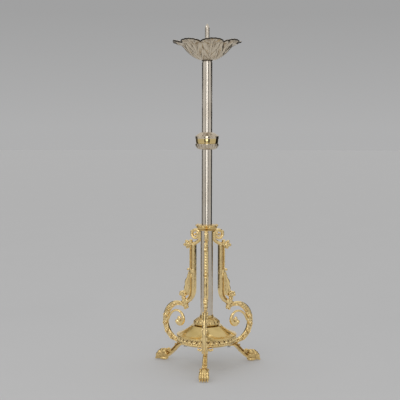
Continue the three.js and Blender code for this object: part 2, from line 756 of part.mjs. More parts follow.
// One lion-paw foot, in the frame of its leg: a lug, a leg that sweeps down, and the paw.
function makeFoot() {
  const lugTop = PLATE_Z - TONGUE;
  const lugEnd = SCROLL_AXIS - 5;
  const lug = new THREE.BoxGeometry(lugEnd - TONGUE_IN, FOOT_WIDTH, TONGUE).translate(
    (lugEnd + TONGUE_IN) / 2,
    0,
    lugTop - TONGUE / 2,
  );
  const sweep = new THREE.CubicBezierCurve(
    v2(lugEnd - 4, lugTop - FOOT_BAR / 2),
    v2(lugEnd + 14, lugTop - FOOT_BAR * 0.75),
    v2(PAW_AXIS - 46, FOOT_BAR + 10),
    v2(PAW_AXIS - 4, FOOT_BAR * 0.6),
  );
  const leg = strand(sweep, () => FOOT_BAR, 7, FOOT_WIDTH, 3);
  const half = PAW_LENGTH / 2;
  const toeOut = PAW_AXIS + half - 8;
  const toes = Array.from({ length: TOES }, (_, i) => {
    const across = (i - (TOES - 1) / 2) * ((PAW_WIDTH - 2 * TOE_R) / (TOES - 1));
    return ball(toeOut, across, PAW_HEIGHT * 0.4, [2.2 * TOE_R, 1.08 * TOE_R, PAW_HEIGHT * 0.42], 6);
  });
  const spur = leaf(1.6 * LEAF, 0.9 * LEAF, lugEnd - 2, lugTop - TONGUE + 2, -70, 0.8 * LEAF);
  const whole = join([
    lug,
    leg,
    spur,
    ball(PAW_AXIS - 2, 0, PAW_HEIGHT * 0.5, [half - 3, PAW_WIDTH / 2 - 1, PAW_HEIGHT * 0.5], 10),
    ball(PAW_AXIS - 6, 0, 0.12 * PAW_HEIGHT, [half - 4, PAW_WIDTH / 2 - 2, 0.26 * PAW_HEIGHT], 8),
    ...toes,
  ]);
  const ground = new THREE.BoxGeometry(3 * PAW_AXIS, 4 * PAW_WIDTH, 40).translate(PAW_AXIS, 0, -20);
  const hole = rod(FOOT_SCREW_R + FIT, lugTop - TONGUE - 1, lugTop + 1).translate(FOOT_SCREW_AXIS, 0, 0);
  return geometryOf(whole.subtract(solidOf(ground)).subtract(solidOf(hole)));
}

// The screw that holds a bracket's pad against the base tube.
function makePadScrew() {
  return geometryOf(
    join([
      radialRod(PAD_SCREW_R, PAD_FACE_R - PAD_SCREW_LENGTH, PAD_FACE_R + 1, PAD_SCREW_Z),
      radialRod(PAD_SCREW_HEAD_R, PAD_FACE_R, PAD_FACE_R + PAD_SCREW_HEAD, PAD_SCREW_Z),
    ]),
  );
}

// The screw that goes up through a foot's lug and a bracket's lug into the base plate.
function makeFootScrew() {
  const seat = PLATE_Z - 2 * TONGUE;
  return geometryOf(
    join([
      rod(FOOT_SCREW_R, seat - 1, PLATE_TOP_Z - 1),
      rod(FOOT_SCREW_HEAD_R, seat - FOOT_SCREW_HEAD, seat),
    ]).translate([FOOT_SCREW_AXIS, 0, 0]),
  );
}

const candlestick = new THREE.Group();

const upperColumn = new THREE.Group();
upperColumn.add(
  named("pricket", makePricket(), nickel),
  named("pan_seat", makePanSeat(), nickel),
  named("upper_tube", tube(UPPER_R, BORE_R, UPPER_TUBE_Z, UPPER_TUBE_TOP_Z), nickel),
  named("knop_spigot", makeKnopSpigot(), steel),
  named("knop_upper_cup", makeUpperCup(), castNickel),
);

const lowerColumn = new THREE.Group();
lowerColumn.add(
  named("knop_band", makeKnopBand(), polishedBrass),
  named("knop_lower_cup", makeLowerCup(), castNickel),
  named("knop_socket", makeKnopSocket(), steel),
  named("middle_tube", tube(UPPER_R, BORE_R, COLUMN_STEP_Z, MIDDLE_TUBE_TOP_Z), nickel),
  named("top_collar", makeTopCollar(), castBrass),
  named("column_coupling", makeCoupling(), steel),
  named("base_tube", makeBaseTube(), nickel),
  named("tie_rod", makeTieRod(), steel),
  named("tie_rod_washer", makeWasher(), steel),
  named("tie_rod_nut", makeNut(), steel),
);

const base = new THREE.Group();
base.add(
  named("dome_neck_ring", makeNeckRing(), polishedBrass),
  named("dome_knob", makeDomeKnob(), castBrass),
  named("base_dome", makeBaseDome(), polishedBrass),
  named("base_gallery", makeGallery(), castBrass),
  named("base_plate", makeBasePlate(), polishedBrass),
);

LEG_AZIMUTHS.forEach((azimuth, i) => {
  const leg = new THREE.Group();
  leg.rotation.z = rad(azimuth);
  leg.add(
    named(`scroll_bracket_${i + 1}`, makeBracket(), castBrass),
    named(`paw_foot_${i + 1}`, makeFoot(), castBrass),
    named(`bracket_screw_${i + 1}`, makePadScrew(), polishedBrass),
    named(`foot_screw_${i + 1}`, makeFootScrew(), steel),
  );
  base.add(leg);
});

candlestick.add(upperColumn, named("drip_pan", makeDripPan(), castNickel), lowerColumn, base);

export default candlestick;
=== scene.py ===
# %% [markdown]
# # A paschal candlestick
#
# A tall church candlestick stands on three cast scroll brackets with lion paws. Its column is
# two polished tubes with a knop between them, and a petalled drip pan sits round the spike.
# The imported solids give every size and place. This lesson builds the finished surfaces round
# them: turned work by spinning a profile, scrolls by drawing a section along a curve, leaves
# by bending a grid, and castings by melting the pieces together with a voxel remesh.

import contextlib
import json
import math

import bpy
from mathutils import Matrix, Vector


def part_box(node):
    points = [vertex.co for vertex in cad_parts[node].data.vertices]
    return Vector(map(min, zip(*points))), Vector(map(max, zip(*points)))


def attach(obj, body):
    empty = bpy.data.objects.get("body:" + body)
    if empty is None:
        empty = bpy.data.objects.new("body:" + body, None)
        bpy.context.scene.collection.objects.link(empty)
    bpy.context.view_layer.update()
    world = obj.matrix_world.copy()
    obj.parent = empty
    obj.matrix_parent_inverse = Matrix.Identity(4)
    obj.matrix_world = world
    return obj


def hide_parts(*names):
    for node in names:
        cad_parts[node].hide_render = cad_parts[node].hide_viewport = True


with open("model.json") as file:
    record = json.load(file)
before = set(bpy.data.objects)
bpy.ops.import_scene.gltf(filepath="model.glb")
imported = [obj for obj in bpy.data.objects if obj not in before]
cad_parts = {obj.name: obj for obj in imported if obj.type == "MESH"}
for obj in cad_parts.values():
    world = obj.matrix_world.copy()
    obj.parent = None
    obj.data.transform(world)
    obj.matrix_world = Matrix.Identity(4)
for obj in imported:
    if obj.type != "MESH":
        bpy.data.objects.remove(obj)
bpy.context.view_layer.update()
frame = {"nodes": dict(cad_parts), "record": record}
NODES = frame["nodes"]

# %% [markdown]
# ## Camera
#
# The reference view looks at the stand from about three metres away, at about the height of
# the knop, and turned a few degrees from the front foot. A long lens keeps the tubes almost
# parallel. The small shift puts the column right of the picture's middle.

# %% Camera at the reference view
IMAGE = 400  # the picture's width and height in pixels
FOCAL_PX = 920.0
SENSOR = 36.0
CAMERA_AWAY = 3.075
CAMERA_UP = 0.810
CAMERA_TILT = math.radians(4.56)
CAMERA_TURN = math.radians(-90 + 2.5)  # the compass angle from the column to the camera
CAMERA_ROLL = math.radians(0.13)
COLUMN_PX = 206.9  # where the column stands in the picture
RAISED_PX = 0.5  # how far the picture's frame is raised

toward_camera = Vector((math.cos(CAMERA_TURN), math.sin(CAMERA_TURN), 0))
to_the_right = Vector((-toward_camera.y, toward_camera.x, 0))
bpy.ops.object.camera_add()
camera = bpy.context.object
camera.name = "camera"
camera.data.sensor_width = SENSOR
camera.data.lens = SENSOR * FOCAL_PX / IMAGE
camera.data.clip_end = 60
camera.data.shift_x = -(COLUMN_PX - IMAGE / 2) / IMAGE
camera.data.shift_y = RAISED_PX / IMAGE
camera.location = toward_camera * CAMERA_AWAY + Vector((0, 0, CAMERA_UP))
look = Matrix.Rotation(CAMERA_TURN + math.pi / 2, 4, "Z")
look = look @ Matrix.Rotation(math.pi / 2 - CAMERA_TILT, 4, "X")
look = look @ Matrix.Rotation(CAMERA_ROLL, 4, "Z")
camera.rotation_euler = look.to_euler()
bpy.context.scene.camera = camera
print("camera lens mm:", round(camera.data.lens, 1))

# %% [markdown]
# ## Materials
#
# Bright metal is mostly what it mirrors, so its own colour stays light and its roughness low.
# What makes it look cast and handled is toning: the polish stays on the ridges, and a brown
# film stays in the hollows. The Pointiness of the surface tells one from the other. That
# effect and the fine scratches of polishing are shader node groups, built once and used in
# each metal with its own values.

# %% Node helpers
FLOAT = "NodeSocketFloat"
COLOUR = "NodeSocketColor"
SPOT = "ShaderNodeTexCoord"
NOISE = "ShaderNodeTexNoise"
RANGE = "ShaderNodeMapRange"
MATH = "ShaderNodeMath"
VECTOR_MATH = "ShaderNodeVectorMath"


def add_node(tree, kind, place, sockets=None, **settings):
    """Add a node with its settings and with values for some of its input sockets."""
    node = tree.nodes.new(kind)
    node.location = place
    for key, value in settings.items():
        setattr(node, key, value)
    for key, value in (sockets or {}).items():
        node.inputs[key].default_value = value
    return node


def mix(tree, place, **colours):
    """A node that mixes two colours, A and B, where they aren't wired."""
    ends = {key: (*colour, 1) for key, colour in colours.items()}
    return add_node(tree, "ShaderNodeMix", place, ends, data_type="RGBA")


def wire(tree, *links):
    """Link sockets, each link given as (node, output, node, input)."""
    for source, output, target, socket in links:
        tree.links.new(source.outputs[output], target.inputs[socket])


def new_group(name, inputs):
    """A shader node group with inputs (name, kind, default) that puts out a metal's skin."""
    group = bpy.data.node_groups.new(name, "ShaderNodeTree")
    for label, kind, default in inputs:
        socket = group.interface.new_socket(label, in_out="INPUT", socket_type=kind)
        socket.default_value = default
    for label, kind in (("Colour", COLOUR), ("Roughness", FLOAT), ("Height", FLOAT)):
        group.interface.new_socket(label, in_out="OUTPUT", socket_type=kind)
    inlet = add_node(group, "NodeGroupInput", (-900, 0))
    outlet = add_node(group, "NodeGroupOutput", (700, 0))
    return group, inlet, outlet


def blended(tree, inlet, outlet, mask, first, last):
    """Let a mask, a (node, output), lead from the first colour and roughness to the last."""
    for blend, quality in (
        (mix(tree, (300, 200)), "colour"),
        (add_node(tree, "ShaderNodeMix", (300, -100), data_type="FLOAT"), "roughness"),
    ):
        wire(
            tree,
            (*mask, blend, "Factor"),
            (inlet, "%s %s" % (first, quality), blend, "A"),
            (inlet, "%s %s" % (last, quality), blend, "B"),
            (blend, "Result", outlet, quality.capitalize()),
        )


# %% Group: toning of a casting
tree, inlet, outlet = new_group(
    "cast_toning",
    [
        ("Bright colour", COLOUR, (0.9, 0.7, 0.3, 1)),
        ("Dull colour", COLOUR, (0.3, 0.16, 0.05, 1)),
        ("Bright roughness", FLOAT, 0.18),
        ("Dull roughness", FLOAT, 0.5),
        ("Hollow at", FLOAT, 0.44),
        ("Ridge at", FLOAT, 0.52),
        ("Mottle scale", FLOAT, 60.0),
        ("Ground radius", FLOAT, 0.0),
        ("Face radius", FLOAT, 0.001),
    ],
)
where = add_node(tree, SPOT, (-900, -300))
# The film lies where the surface is hollow, and a mottle breaks it up.
shape = add_node(tree, "ShaderNodeNewGeometry", (-900, 300))
mottle = add_node(tree, NOISE, (-650, -250), {"Detail": 5})
polish = add_node(tree, RANGE, (-400, 250))
film = add_node(tree, MATH, (-150, 100), {1: 0.9}, operation="MULTIPLY_ADD")
lift = add_node(tree, MATH, (0, 100), {1: 0.45}, operation="SUBTRACT", use_clamp=True)
# It also lies on the ground behind raised work, told by its distance from the column's axis.
level = add_node(tree, VECTOR_MATH, (-650, 600), {1: (1, 1, 0)}, operation="MULTIPLY")
away = add_node(tree, VECTOR_MATH, (-500, 600), operation="LENGTH")
ground = add_node(tree, RANGE, (-300, 600))
worn = add_node(tree, MATH, (150, 250), operation="MULTIPLY")
# The skin of the mould leaves a fine grain and soft lumps.
grain = add_node(tree, NOISE, (-650, -500), {"Scale": 900, "Detail": 3})
lumps = add_node(tree, NOISE, (-650, -750), {"Scale": 150, "Detail": 2})
both = add_node(tree, MATH, (-400, -600), {1: 0.2}, operation="MULTIPLY_ADD")
wire(
    tree,
    (where, "Object", mottle, "Vector"),
    (inlet, "Mottle scale", mottle, "Scale"),
    (shape, "Pointiness", polish, "Value"),
    (inlet, "Hollow at", polish, "From Min"),
    (inlet, "Ridge at", polish, "From Max"),
    (mottle, "Fac", film, 0),
    (polish, "Result", film, 2),
    (film, 0, lift, 0),
    (where, "Object", level, 0),
    (level, 0, away, 0),
    (away, "Value", ground, "Value"),
    (inlet, "Ground radius", ground, "From Min"),
    (inlet, "Face radius", ground, "From Max"),
    (lift, 0, worn, 0),
    (ground, "Result", worn, 1),
    (where, "Object", grain, "Vector"),
    (where, "Object", lumps, "Vector"),
    (grain, "Fac", both, 0),
    (lumps, "Fac", both, 2),
    (both, 0, outlet, "Height"),
)
blended(tree, inlet, outlet, (worn, 0), "Dull", "Bright")
print("group:", tree.name, "nodes:", len(tree.nodes))

# %% Group: polish marks on a turned or drawn piece
tree, inlet, outlet = new_group(
    "polish_marks",
    [
        ("Bright colour", COLOUR, (0.8, 0.75, 0.68, 1)),
        ("Dull colour", COLOUR, (0.6, 0.54, 0.46, 1)),
        ("Bright roughness", FLOAT, 0.08),
        ("Dull roughness", FLOAT, 0.2),
        ("Smudge scale", FLOAT, 14.0),
    ],
)
where = add_node(tree, SPOT, (-900, -300))
cloudy = add_node(tree, NOISE, (-650, 0), {"Detail": 2, "Roughness": 0.6})
patches = add_node(tree, RANGE, (-400, 0), {"From Min": 0.42, "From Max": 0.68})
squeezed = add_node(tree, "ShaderNodeMapping", (-720, -350), {"Scale": (1, 1, 40)})
scratches = add_node(tree, NOISE, (-500, -350), {"Scale": 60, "Detail": 2})
wire(
    tree,
    (where, "Object", cloudy, "Vector"),
    (inlet, "Smudge scale", cloudy, "Scale"),
    (cloudy, "Fac", patches, "Value"),
    (where, "Object", squeezed, "Vector"),
    (squeezed, "Vector", scratches, "Vector"),
    (scratches, "Fac", outlet, "Height"),
)
blended(tree, inlet, outlet, (patches, "Result"), "Bright", "Dull")
print("group:", tree.name, "nodes:", len(tree.nodes))

# %% Metals from the groups
METALS = {}
# Bright and dull colour, bright and dull roughness, the bump's strength and its reach in m.
POLISHED = {
    "nickel_polished": ((0.66, 0.61, 0.54), (0.59, 0.53, 0.45), 0.17, 0.25, 0.015, 0.0001),
    # A near-black nickel: painted shadow for the seat under the pan.
    "nickel_painted_shadow": ((0.14, 0.12, 0.1), (0.09, 0.08, 0.065), 0.3, 0.45, 0.3, 0.0003),
    "brass_polished": ((0.8, 0.63, 0.31), (0.7, 0.53, 0.23), 0.07, 0.15, 0.04, 0.0002),
    "brass_satin": ((0.75, 0.58, 0.265), (0.59, 0.445, 0.172), 0.17, 0.26, 0.04, 0.0002),
    "steel": ((0.5, 0.5, 0.51), (0.36, 0.35, 0.34), 0.32, 0.5, 0.3, 0.0003),
}
CAST = {
    "nickel_cast": ((0.7, 0.62, 0.5), (0.22, 0.155, 0.095), 0.2, 0.45, 0.4, 0.0009),
    "brass_cast": ((0.99, 0.78, 0.4), (0.26, 0.145, 0.05), 0.17, 0.45, 0.5, 0.0011),
    "brass_toned": ((0.85, 0.64, 0.29), (0.2, 0.1, 0.034), 0.17, 0.45, 0.5, 0.0011),
    "brass_knob": ((0.72, 0.55, 0.26), (0.15, 0.08, 0.028), 0.18, 0.45, 0.4, 0.0009),
    "brass_gallery": ((1.0, 0.8, 0.42), (0.28, 0.165, 0.06), 0.15, 0.5, 0.4, 0.0008),
}
GALLERY_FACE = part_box("base_gallery")[1][0]
OTHERWISE = {
    "nickel_cast": {"Hollow at": 0.41, "Ridge at": 0.53},
    "brass_cast": {"Hollow at": 0.45, "Ridge at": 0.515},
    "brass_gallery": {"Ground radius": GALLERY_FACE - 0.0048, "Face radius": GALLERY_FACE - 0.0022},
}


def metal(name, group, bright, dull, bright_roughness, dull_roughness, bump, reach):
    """A metal whose colour, roughness and bump come from a group with these values."""
    METALS[name] = material = bpy.data.materials.new(name)
    material.use_nodes = True
    tree = material.node_tree
    shader = tree.nodes["Principled BSDF"]
    shader.inputs["Metallic"].default_value = 1.0
    values = {"Bright colour": (*bright, 1), "Dull colour": (*dull, 1)}
    values["Bright roughness"] = bright_roughness
    values["Dull roughness"] = dull_roughness
    values.update(OTHERWISE.get(name, {}))
    effect = add_node(tree, "ShaderNodeGroup", (-500, 0), values, node_tree=group)
    skin = {"Strength": bump, "Distance": reach}
    relief = add_node(tree, "ShaderNodeBump", (-250, -250), skin)
    wire(
        tree,
        (effect, "Colour", shader, "Base Color"),
        (effect, "Roughness", shader, "Roughness"),
        (effect, "Height", relief, "Height"),
        (relief, "Normal", shader, "Normal"),
    )


for name, values in POLISHED.items():
    metal(name, bpy.data.node_groups["polish_marks"], *values)
for name, values in CAST.items():
    metal(name, bpy.data.node_groups["cast_toning"], *values)
print("metals:", ", ".join(METALS))

# %% Painted shade on the pan's rim, and a metal for each solid
tree = METALS["nickel_cast"].node_tree
shader = tree.nodes["Principled BSDF"]
toning = shader.inputs["Base Color"].links[0].from_node
# The pan's rim edge is painted near black: painted shade and dark reflection along the edge.
rim = add_node(tree, "ShaderNodeAttribute", (-500, 300), attribute_name="rim_painted_shade")
shaded_rim = mix(tree, (-150, 200), B=(0.035, 0.03, 0.025))
wire(
    tree,
    (rim, "Fac", shaded_rim, "Factor"),
    (toning, "Colour", shaded_rim, "A"),
    (shaded_rim, "Result", shader, "Base Color"),
)
SLOT_OF = {part["node"]: part["material_slot"] for part in frame["record"]["subparts"]}
for node_name, solid in NODES.items():
    solid.data.materials.clear()
    solid.data.materials.append(METALS[SLOT_OF[node_name]])
# The seat under the pan is painted near black, a painted shadow.
NODES["pan_seat"].data.materials[0] = METALS["nickel_painted_shadow"]
print("solids with a metal:", len(NODES))

# %% [markdown]
# ## Studio
#
# Polished metal needs something to mirror. The world is a plain grey backdrop, and the metal
# mirrors paler walls. A tall soft strip stands behind the camera and draws the bright line down
# the tubes. Dark cards at both sides and in front, which only the metal sees, draw the dark
# edges and stripes, as a photographer does with silver. One large soft lamp hangs at the upper
# left and a small one behind. The floor is a plain pale sheet, and the metal mirrors it paler.

# %% World
BACKDROP_LOW = (0.43, 0.43, 0.432)
BACKDROP_HIGH = (0.355, 0.355, 0.356)
BACKDROP_CLIMB = 0.12  # how far up, of a view straight up, the backdrop reaches its high tone
MIRRORED_WALLS = (0.72, 0.7, 0.67)
PLAIN_LIGHT = (0.8, 0.8, 0.8)
world = bpy.data.worlds.new("studio")
world.use_nodes = True
bpy.context.scene.world = world
tree = world.node_tree
tree.nodes.clear()
sight = add_node(tree, SPOT, (-1000, 0))
height = add_node(tree, "ShaderNodeSeparateXYZ", (-800, 0))
climb = add_node(tree, RANGE, (-600, 0), {"From Max": BACKDROP_CLIMB})
backdrop = mix(tree, (-400, 0), A=BACKDROP_LOW, B=BACKDROP_HIGH)
ray = add_node(tree, "ShaderNodeLightPath", (-400, 300))
mirrored = add_node(tree, MATH, (-200, 300), operation="MAXIMUM")
shown = add_node(tree, MATH, (-50, 300), operation="MAXIMUM")
walls = mix(tree, (-200, 0), B=MIRRORED_WALLS)
seen = mix(tree, (150, 0), A=PLAIN_LIGHT)
glow = add_node(tree, "ShaderNodeBackground", (350, 0))
out = add_node(tree, "ShaderNodeOutputWorld", (550, 0))
wire(
    tree,
    (sight, "Generated", height, 0),
    (height, "Z", climb, "Value"),
    (climb, "Result", backdrop, "Factor"),
    (ray, "Is Glossy Ray", mirrored, 0),
    (ray, "Is Transmission Ray", mirrored, 1),
    (ray, "Is Camera Ray", shown, 0),
    (mirrored, 0, shown, 1),
    (ray, "Is Glossy Ray", walls, "Factor"),
    (backdrop, "Result", walls, "A"),
    (shown, 0, seen, "Factor"),
    (walls, "Result", seen, "B"),
    (seen, "Result", glow, "Color"),
    (glow, 0, out, "Surface"),
)
print("world:", world.name)


# %% Floor
def dull_paint(name, dark, pale, scale, detail, shine):
    """A dull material that wanders a little between two shades."""
    paint = bpy.data.materials.new(name)
    paint.use_nodes = True
    tree = paint.node_tree
    shader = tree.nodes["Principled BSDF"]
    shader.inputs["Roughness"].default_value = 0.9
    shader.inputs["Specular IOR Level"].default_value = shine
    where = add_node(tree, SPOT, (-900, 0))
    nap = add_node(tree, NOISE, (-700, 0), {"Scale": scale, "Detail": detail})
    tone = mix(tree, (-300, 0), A=dark, B=pale)
    wire(
        tree,
        (where, "Object", nap, "Vector"),
        (nap, "Fac", tone, "Factor"),
        (tone, "Result", shader, "Base Color"),
    )
    return paint


UNDER_SOLES = 0.0005  # the floor lies this far under the soles
FLOOR_GLOW = (0.165, 0.165, 0.166)  # softens the stand's shadow
FLOOR_MIRRORED = (0.28, 0.272, 0.257)
bpy.ops.mesh.primitive_circle_add(
    vertices=96, radius=30, fill_type="NGON", location=(0, 0, -UNDER_SOLES)
)
floor = bpy.context.object
floor.name = "floor"
paper = dull_paint("paper_floor", (0.31, 0.31, 0.311), (0.322, 0.322, 0.323), 3, 4, 0.2)
tree = paper.node_tree
shader = tree.nodes["Principled BSDF"]
shader.inputs["Emission Strength"].default_value = 1.0
ray = add_node(tree, "ShaderNodeLightPath", (-600, 300))
bounce = mix(tree, (-300, 300), A=FLOOR_GLOW, B=FLOOR_MIRRORED)
wire(
    tree,
    (ray, "Is Glossy Ray", bounce, "Factor"),
    (bounce, "Result", shader, "Emission Color"),
)
floor.data.materials.append(paper)
print("floor:", paper.name)


# %% Lamps
def soft_lamp(name, at, aim, wide, tall, watts):
    """A soft rectangular lamp that points from one place to another."""
    bpy.ops.object.light_add(type="AREA", location=at)
    lamp = bpy.context.object
    lamp.name = name
    lamp.data.shape = "RECTANGLE"
    lamp.data.size = wide
    lamp.data.size_y = tall
    lamp.data.energy = watts
    lamp.visible_camera = False
    lamp.rotation_euler = (Vector(at) - Vector(aim)).to_track_quat("Z", "Y").to_euler()


strip_way = (toward_camera - to_the_right * 0.025).normalized()
mid_height = Vector((0, 0, 1.5))
soft_lamp("strip_lamp", strip_way * 2.7 + mid_height, mid_height, 0.98, 2.6, 14.5)
soft_lamp("upper_lamp", (-1.9, -2.3, 3.4), (0, 0, 0.45), 1.7, 1.7, 15)
high_behind = toward_camera * -0.85 + Vector((0, 0, 3.1))
soft_lamp("back_lamp", high_behind, (0, 0, 0.3), 0.9, 0.6, 3)
bpy.context.scene.view_settings.view_transform = "Standard"
print("lamps:", len(bpy.data.lights))

# %% Working on a mesh
def only(*pieces):
    """Select these pieces alone, the first one active."""
    bpy.ops.object.select_all(action="DESELECT")
    for piece in pieces:
        piece.select_set(True)
    bpy.context.view_layer.objects.active = pieces[0]


def apply_place(piece):
    only(piece)
    bpy.ops.object.transform_apply(location=True, rotation=True, scale=True)
    return piece


@contextlib.contextmanager
def editing(piece):
    """Open a piece alone in edit mode with all of it selected, then close it again."""
    only(piece)
    bpy.ops.object.mode_set(mode="EDIT")
    bpy.ops.mesh.select_mode(type="VERT")
    bpy.ops.mesh.select_all(action="SELECT")
    yield
    bpy.ops.object.mode_set(mode="OBJECT")


def swept(profile, sweep, steps):
    """Extrude a point along a profile of (radius, height) in m and spin it about the axis."""
    bpy.ops.mesh.primitive_plane_add(size=0.001)
    piece = bpy.context.object
    with editing(piece):
        bpy.ops.mesh.merge(type="CENTER")
        bpy.ops.transform.translate(value=(profile[0][0], 0, profile[0][1]))
        for (r0, z0), (r1, z1) in zip(profile, profile[1:]):
            step = (r1 - r0, 0, z1 - z0)
            bpy.ops.mesh.extrude_region_move(TRANSFORM_OT_translate={"value": step})
        bpy.ops.mesh.select_all(action="SELECT")
        bpy.ops.mesh.spin(steps=steps, angle=sweep, center=(0, 0, 0), axis=(0, 0, 1))
    return piece


# %% Dark cards
CARD_TINT = (1, 0.96, 0.92)
CARD_AWAY = 1.3
CARD_FAR = 157  # degrees from the camera to the far edge of the side cards


def card_paint(name, dark, pale):
    shades = [[shade * tint for tint in CARD_TINT] for shade in (dark, pale)]
    return dull_paint(name, *shades, 200, 2, 0.1)


def dark_card(name, side, paint, near, far, away, foot, top):
    """A bent card, right (1) or left (-1) of the camera, between two angles and heights."""
    first, last = sorted(CAMERA_TURN + side * math.radians(angle) for angle in (near, far))
    card = swept([(away, foot), (away, top)], last - first, 24)
    card.name = "%s_%s" % (name, "lr"[side > 0])
    middle = sum((v.co for v in card.data.vertices), Vector()) / len(card.data.vertices)
    card.rotation_euler.z = (first + last) / 2 - math.atan2(middle.y, middle.x)
    apply_place(card)
    card.data.materials.append(paint)
    card.visible_camera = card.visible_diffuse = card.visible_shadow = False


black = card_paint("black_card", 0.008, 0.014)
grey = card_paint("grey_card", 0.06, 0.09)
for side, paint, near, foot in ((1, black, 99, 0.14), (-1, grey, 108, 0)):
    dark_card("side_card", side, paint, near, CARD_FAR, CARD_AWAY, foot, 0.92)
    dark_card("high_card", side, black, near - 12, CARD_FAR, 3.0, 1.0, 1.9)
for side, paint, near in ((1, black, 9), (-1, grey, 14)):
    dark_card("front_card", side, paint, near, 27, CARD_AWAY, 0.2, 1.6)

# %% [markdown]
# ## Tools for the pieces
#
# A turned piece is a profile spun about the column's axis: a single point is extruded from
# step to step, then the spin operator sweeps it round. A scroll is a section extruded along
# a curve, turned and scaled a little at each step. Both are closed forms, so that castings
# can be melted together from them with a voxel remesh.

# %% Selecting and modifying
MM = 0.001


def span(node):
    """The foot, the top and the outer radius of a solid round the column, in mm."""
    low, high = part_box(node)
    return low[2] / MM, high[2] / MM, high[0] / MM


def modify(piece, kind, **settings):
    """Add a modifier with these settings and apply it."""
    only(piece)
    bpy.ops.object.modifier_add(type=kind)
    added = piece.modifiers[-1]
    for key, value in settings.items():
        setattr(added, key, value)
    bpy.ops.object.modifier_apply(modifier=added.name)
    return piece


def close_up(piece, reach=1e-6):
    """Merge doubled points and turn all faces outward."""
    with editing(piece):
        bpy.ops.mesh.remove_doubles(threshold=reach)
        bpy.ops.mesh.normals_make_consistent(inside=False)
    return piece


def copied(piece, matrix):
    """A copy with its own mesh, moved by a matrix."""
    twin = piece.copy()
    twin.data = piece.data.copy()
    bpy.context.collection.objects.link(twin)
    twin.matrix_world = matrix @ piece.matrix_world
    return apply_place(twin)


def joined(*pieces):
    only(*pieces)
    if len(pieces) > 1:
        bpy.ops.object.join()
    return pieces[0]


def around(piece, count, start):
    """The piece and its copies, turned evenly about the column's axis, as one object."""
    turns = [Matrix.Rotation(start + 2 * math.pi * k / count, 4, "Z") for k in range(count)]
    ring = [copied(piece, turn) for turn in turns]
    bpy.data.objects.remove(piece)
    return joined(*ring)


def melted(pieces, voxel, smooth=2):
    """Join closed forms and melt them into one skin, as a casting is one piece of metal."""
    casting = joined(*pieces)
    modify(casting, "REMESH", mode="VOXEL", voxel_size=voxel * MM, use_smooth_shade=True)
    return modify(casting, "SMOOTH", factor=0.5, iterations=smooth)


def finished(piece, name, body, slot, node, crease=35, metal=None):
    """Name the piece, smooth it, give it its metal, and say what carries and replaces it."""
    piece.name = name
    piece.data.name = name
    apply_place(piece)
    bpy.ops.object.shade_smooth_by_angle(angle=math.radians(crease))
    piece.data.materials.clear()
    piece.data.materials.append(METALS[metal or slot])
    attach(piece, body)
    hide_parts(node)
    print(name, len(piece.data.polygons), "faces")


# %% Turning
def eased(points, between=6):
    """A smooth line through the points, with this many steps between each two."""
    knots = [Vector(p) for p in points]
    line = []
    for i in range(len(knots) - 1):
        a, b = knots[i], knots[i + 1]
        before = knots[i - 1] if i else a + a - b
        after = knots[i + 2] if i + 2 < len(knots) else b + b - a
        for step in range(between):
            t = step / between
            slope = (b - before) * t
            bend = (2 * before - 5 * a + 4 * b - after) * t**2
            twist = (3 * a - before - 3 * b + after) * t**3
            line.append(tuple(0.5 * (2 * a + slope + bend + twist)))
    line.append(tuple(knots[-1]))
    return line


def raised(foot, profile):
    """A profile whose heights are given above this foot, or below it when negative."""
    return [(radius, foot + up) for radius, up in profile]


def turned(profile, steps=96):
    """Spin a profile of (radius, height) in mm about the column's axis."""
    return close_up(swept([(r * MM, z * MM) for r, z in profile], 2 * math.pi, steps))


# %% Drawing a section along a curve
def bezier(a, b, c, d, steps=16):
    a, b, c, d = (Vector(p) for p in (a, b, c, d))
    line = []
    for k in range(steps + 1):
        t = k / steps
        s = 1 - t
        line.append(s**3 * a + 3 * s * s * t * b + 3 * s * t * t * c + t**3 * d)
    return line


def scroll_line(centre, start, core, begin, end, fade, steps=64):
    """A spiral that runs in from the start radius to the core radius, angles in degrees."""
    line = []
    for k in range(steps + 1):
        turn = math.radians(end - begin) * k / steps
        radius = core + (start - core) * math.exp(-abs(turn) / fade)
        angle = math.radians(begin) + turn
        spot = (centre[0] + radius * math.cos(angle), centre[1] + radius * math.sin(angle))
        line.append(Vector(spot))
    return line


def swing(angle, centre):
    bpy.ops.transform.rotate(
        value=angle, orient_axis="Y", orient_type="GLOBAL", center_override=centre
    )


def drawn(section, line, width, depth):
    """Extrude a section (across, deep) along a line of (out, up) in mm, in the leg's plane.

    width and depth are functions of the share of the way along.
    """
    headings = []
    for k in range(len(line)):
        way = line[min(k + 1, len(line) - 1)] - line[max(k - 1, 0)]
        heading = math.atan2(way.y, way.x)
        if headings:
            heading += 2 * math.pi * round((headings[-1] - heading) / (2 * math.pi))
        headings.append(heading)
    last = len(line) - 1
    bpy.ops.mesh.primitive_circle_add(vertices=len(section), radius=MM, fill_type="NGON")
    piece = bpy.context.object
    for vertex, (across, deep) in zip(piece.data.vertices, section):
        vertex.co = (0, deep * depth(0) * MM, across * width(0) * MM)
    spots = [Vector((spot.x * MM, 0, spot.y * MM)) for spot in line]
    with editing(piece):
        swing(headings[0], (0, 0, 0))
        bpy.ops.transform.translate(value=spots[0])
        for k in range(1, last + 1):
            step = spots[k] - spots[k - 1]
            bpy.ops.mesh.extrude_region_move(TRANSFORM_OT_translate={"value": step})
            swing(headings[k] - headings[k - 1], spots[k])
            wider = width(k / last) / width((k - 1) / last)
            deeper = depth(k / last) / depth((k - 1) / last)
            bpy.ops.transform.resize(value=(wider, deeper, wider), center_override=spots[k])
    return close_up(piece)


def both_sides(half):
    """A closed section from the half that faces one side of the leg's plane."""
    return half + [(across, -deep) for across, deep in reversed(half)]


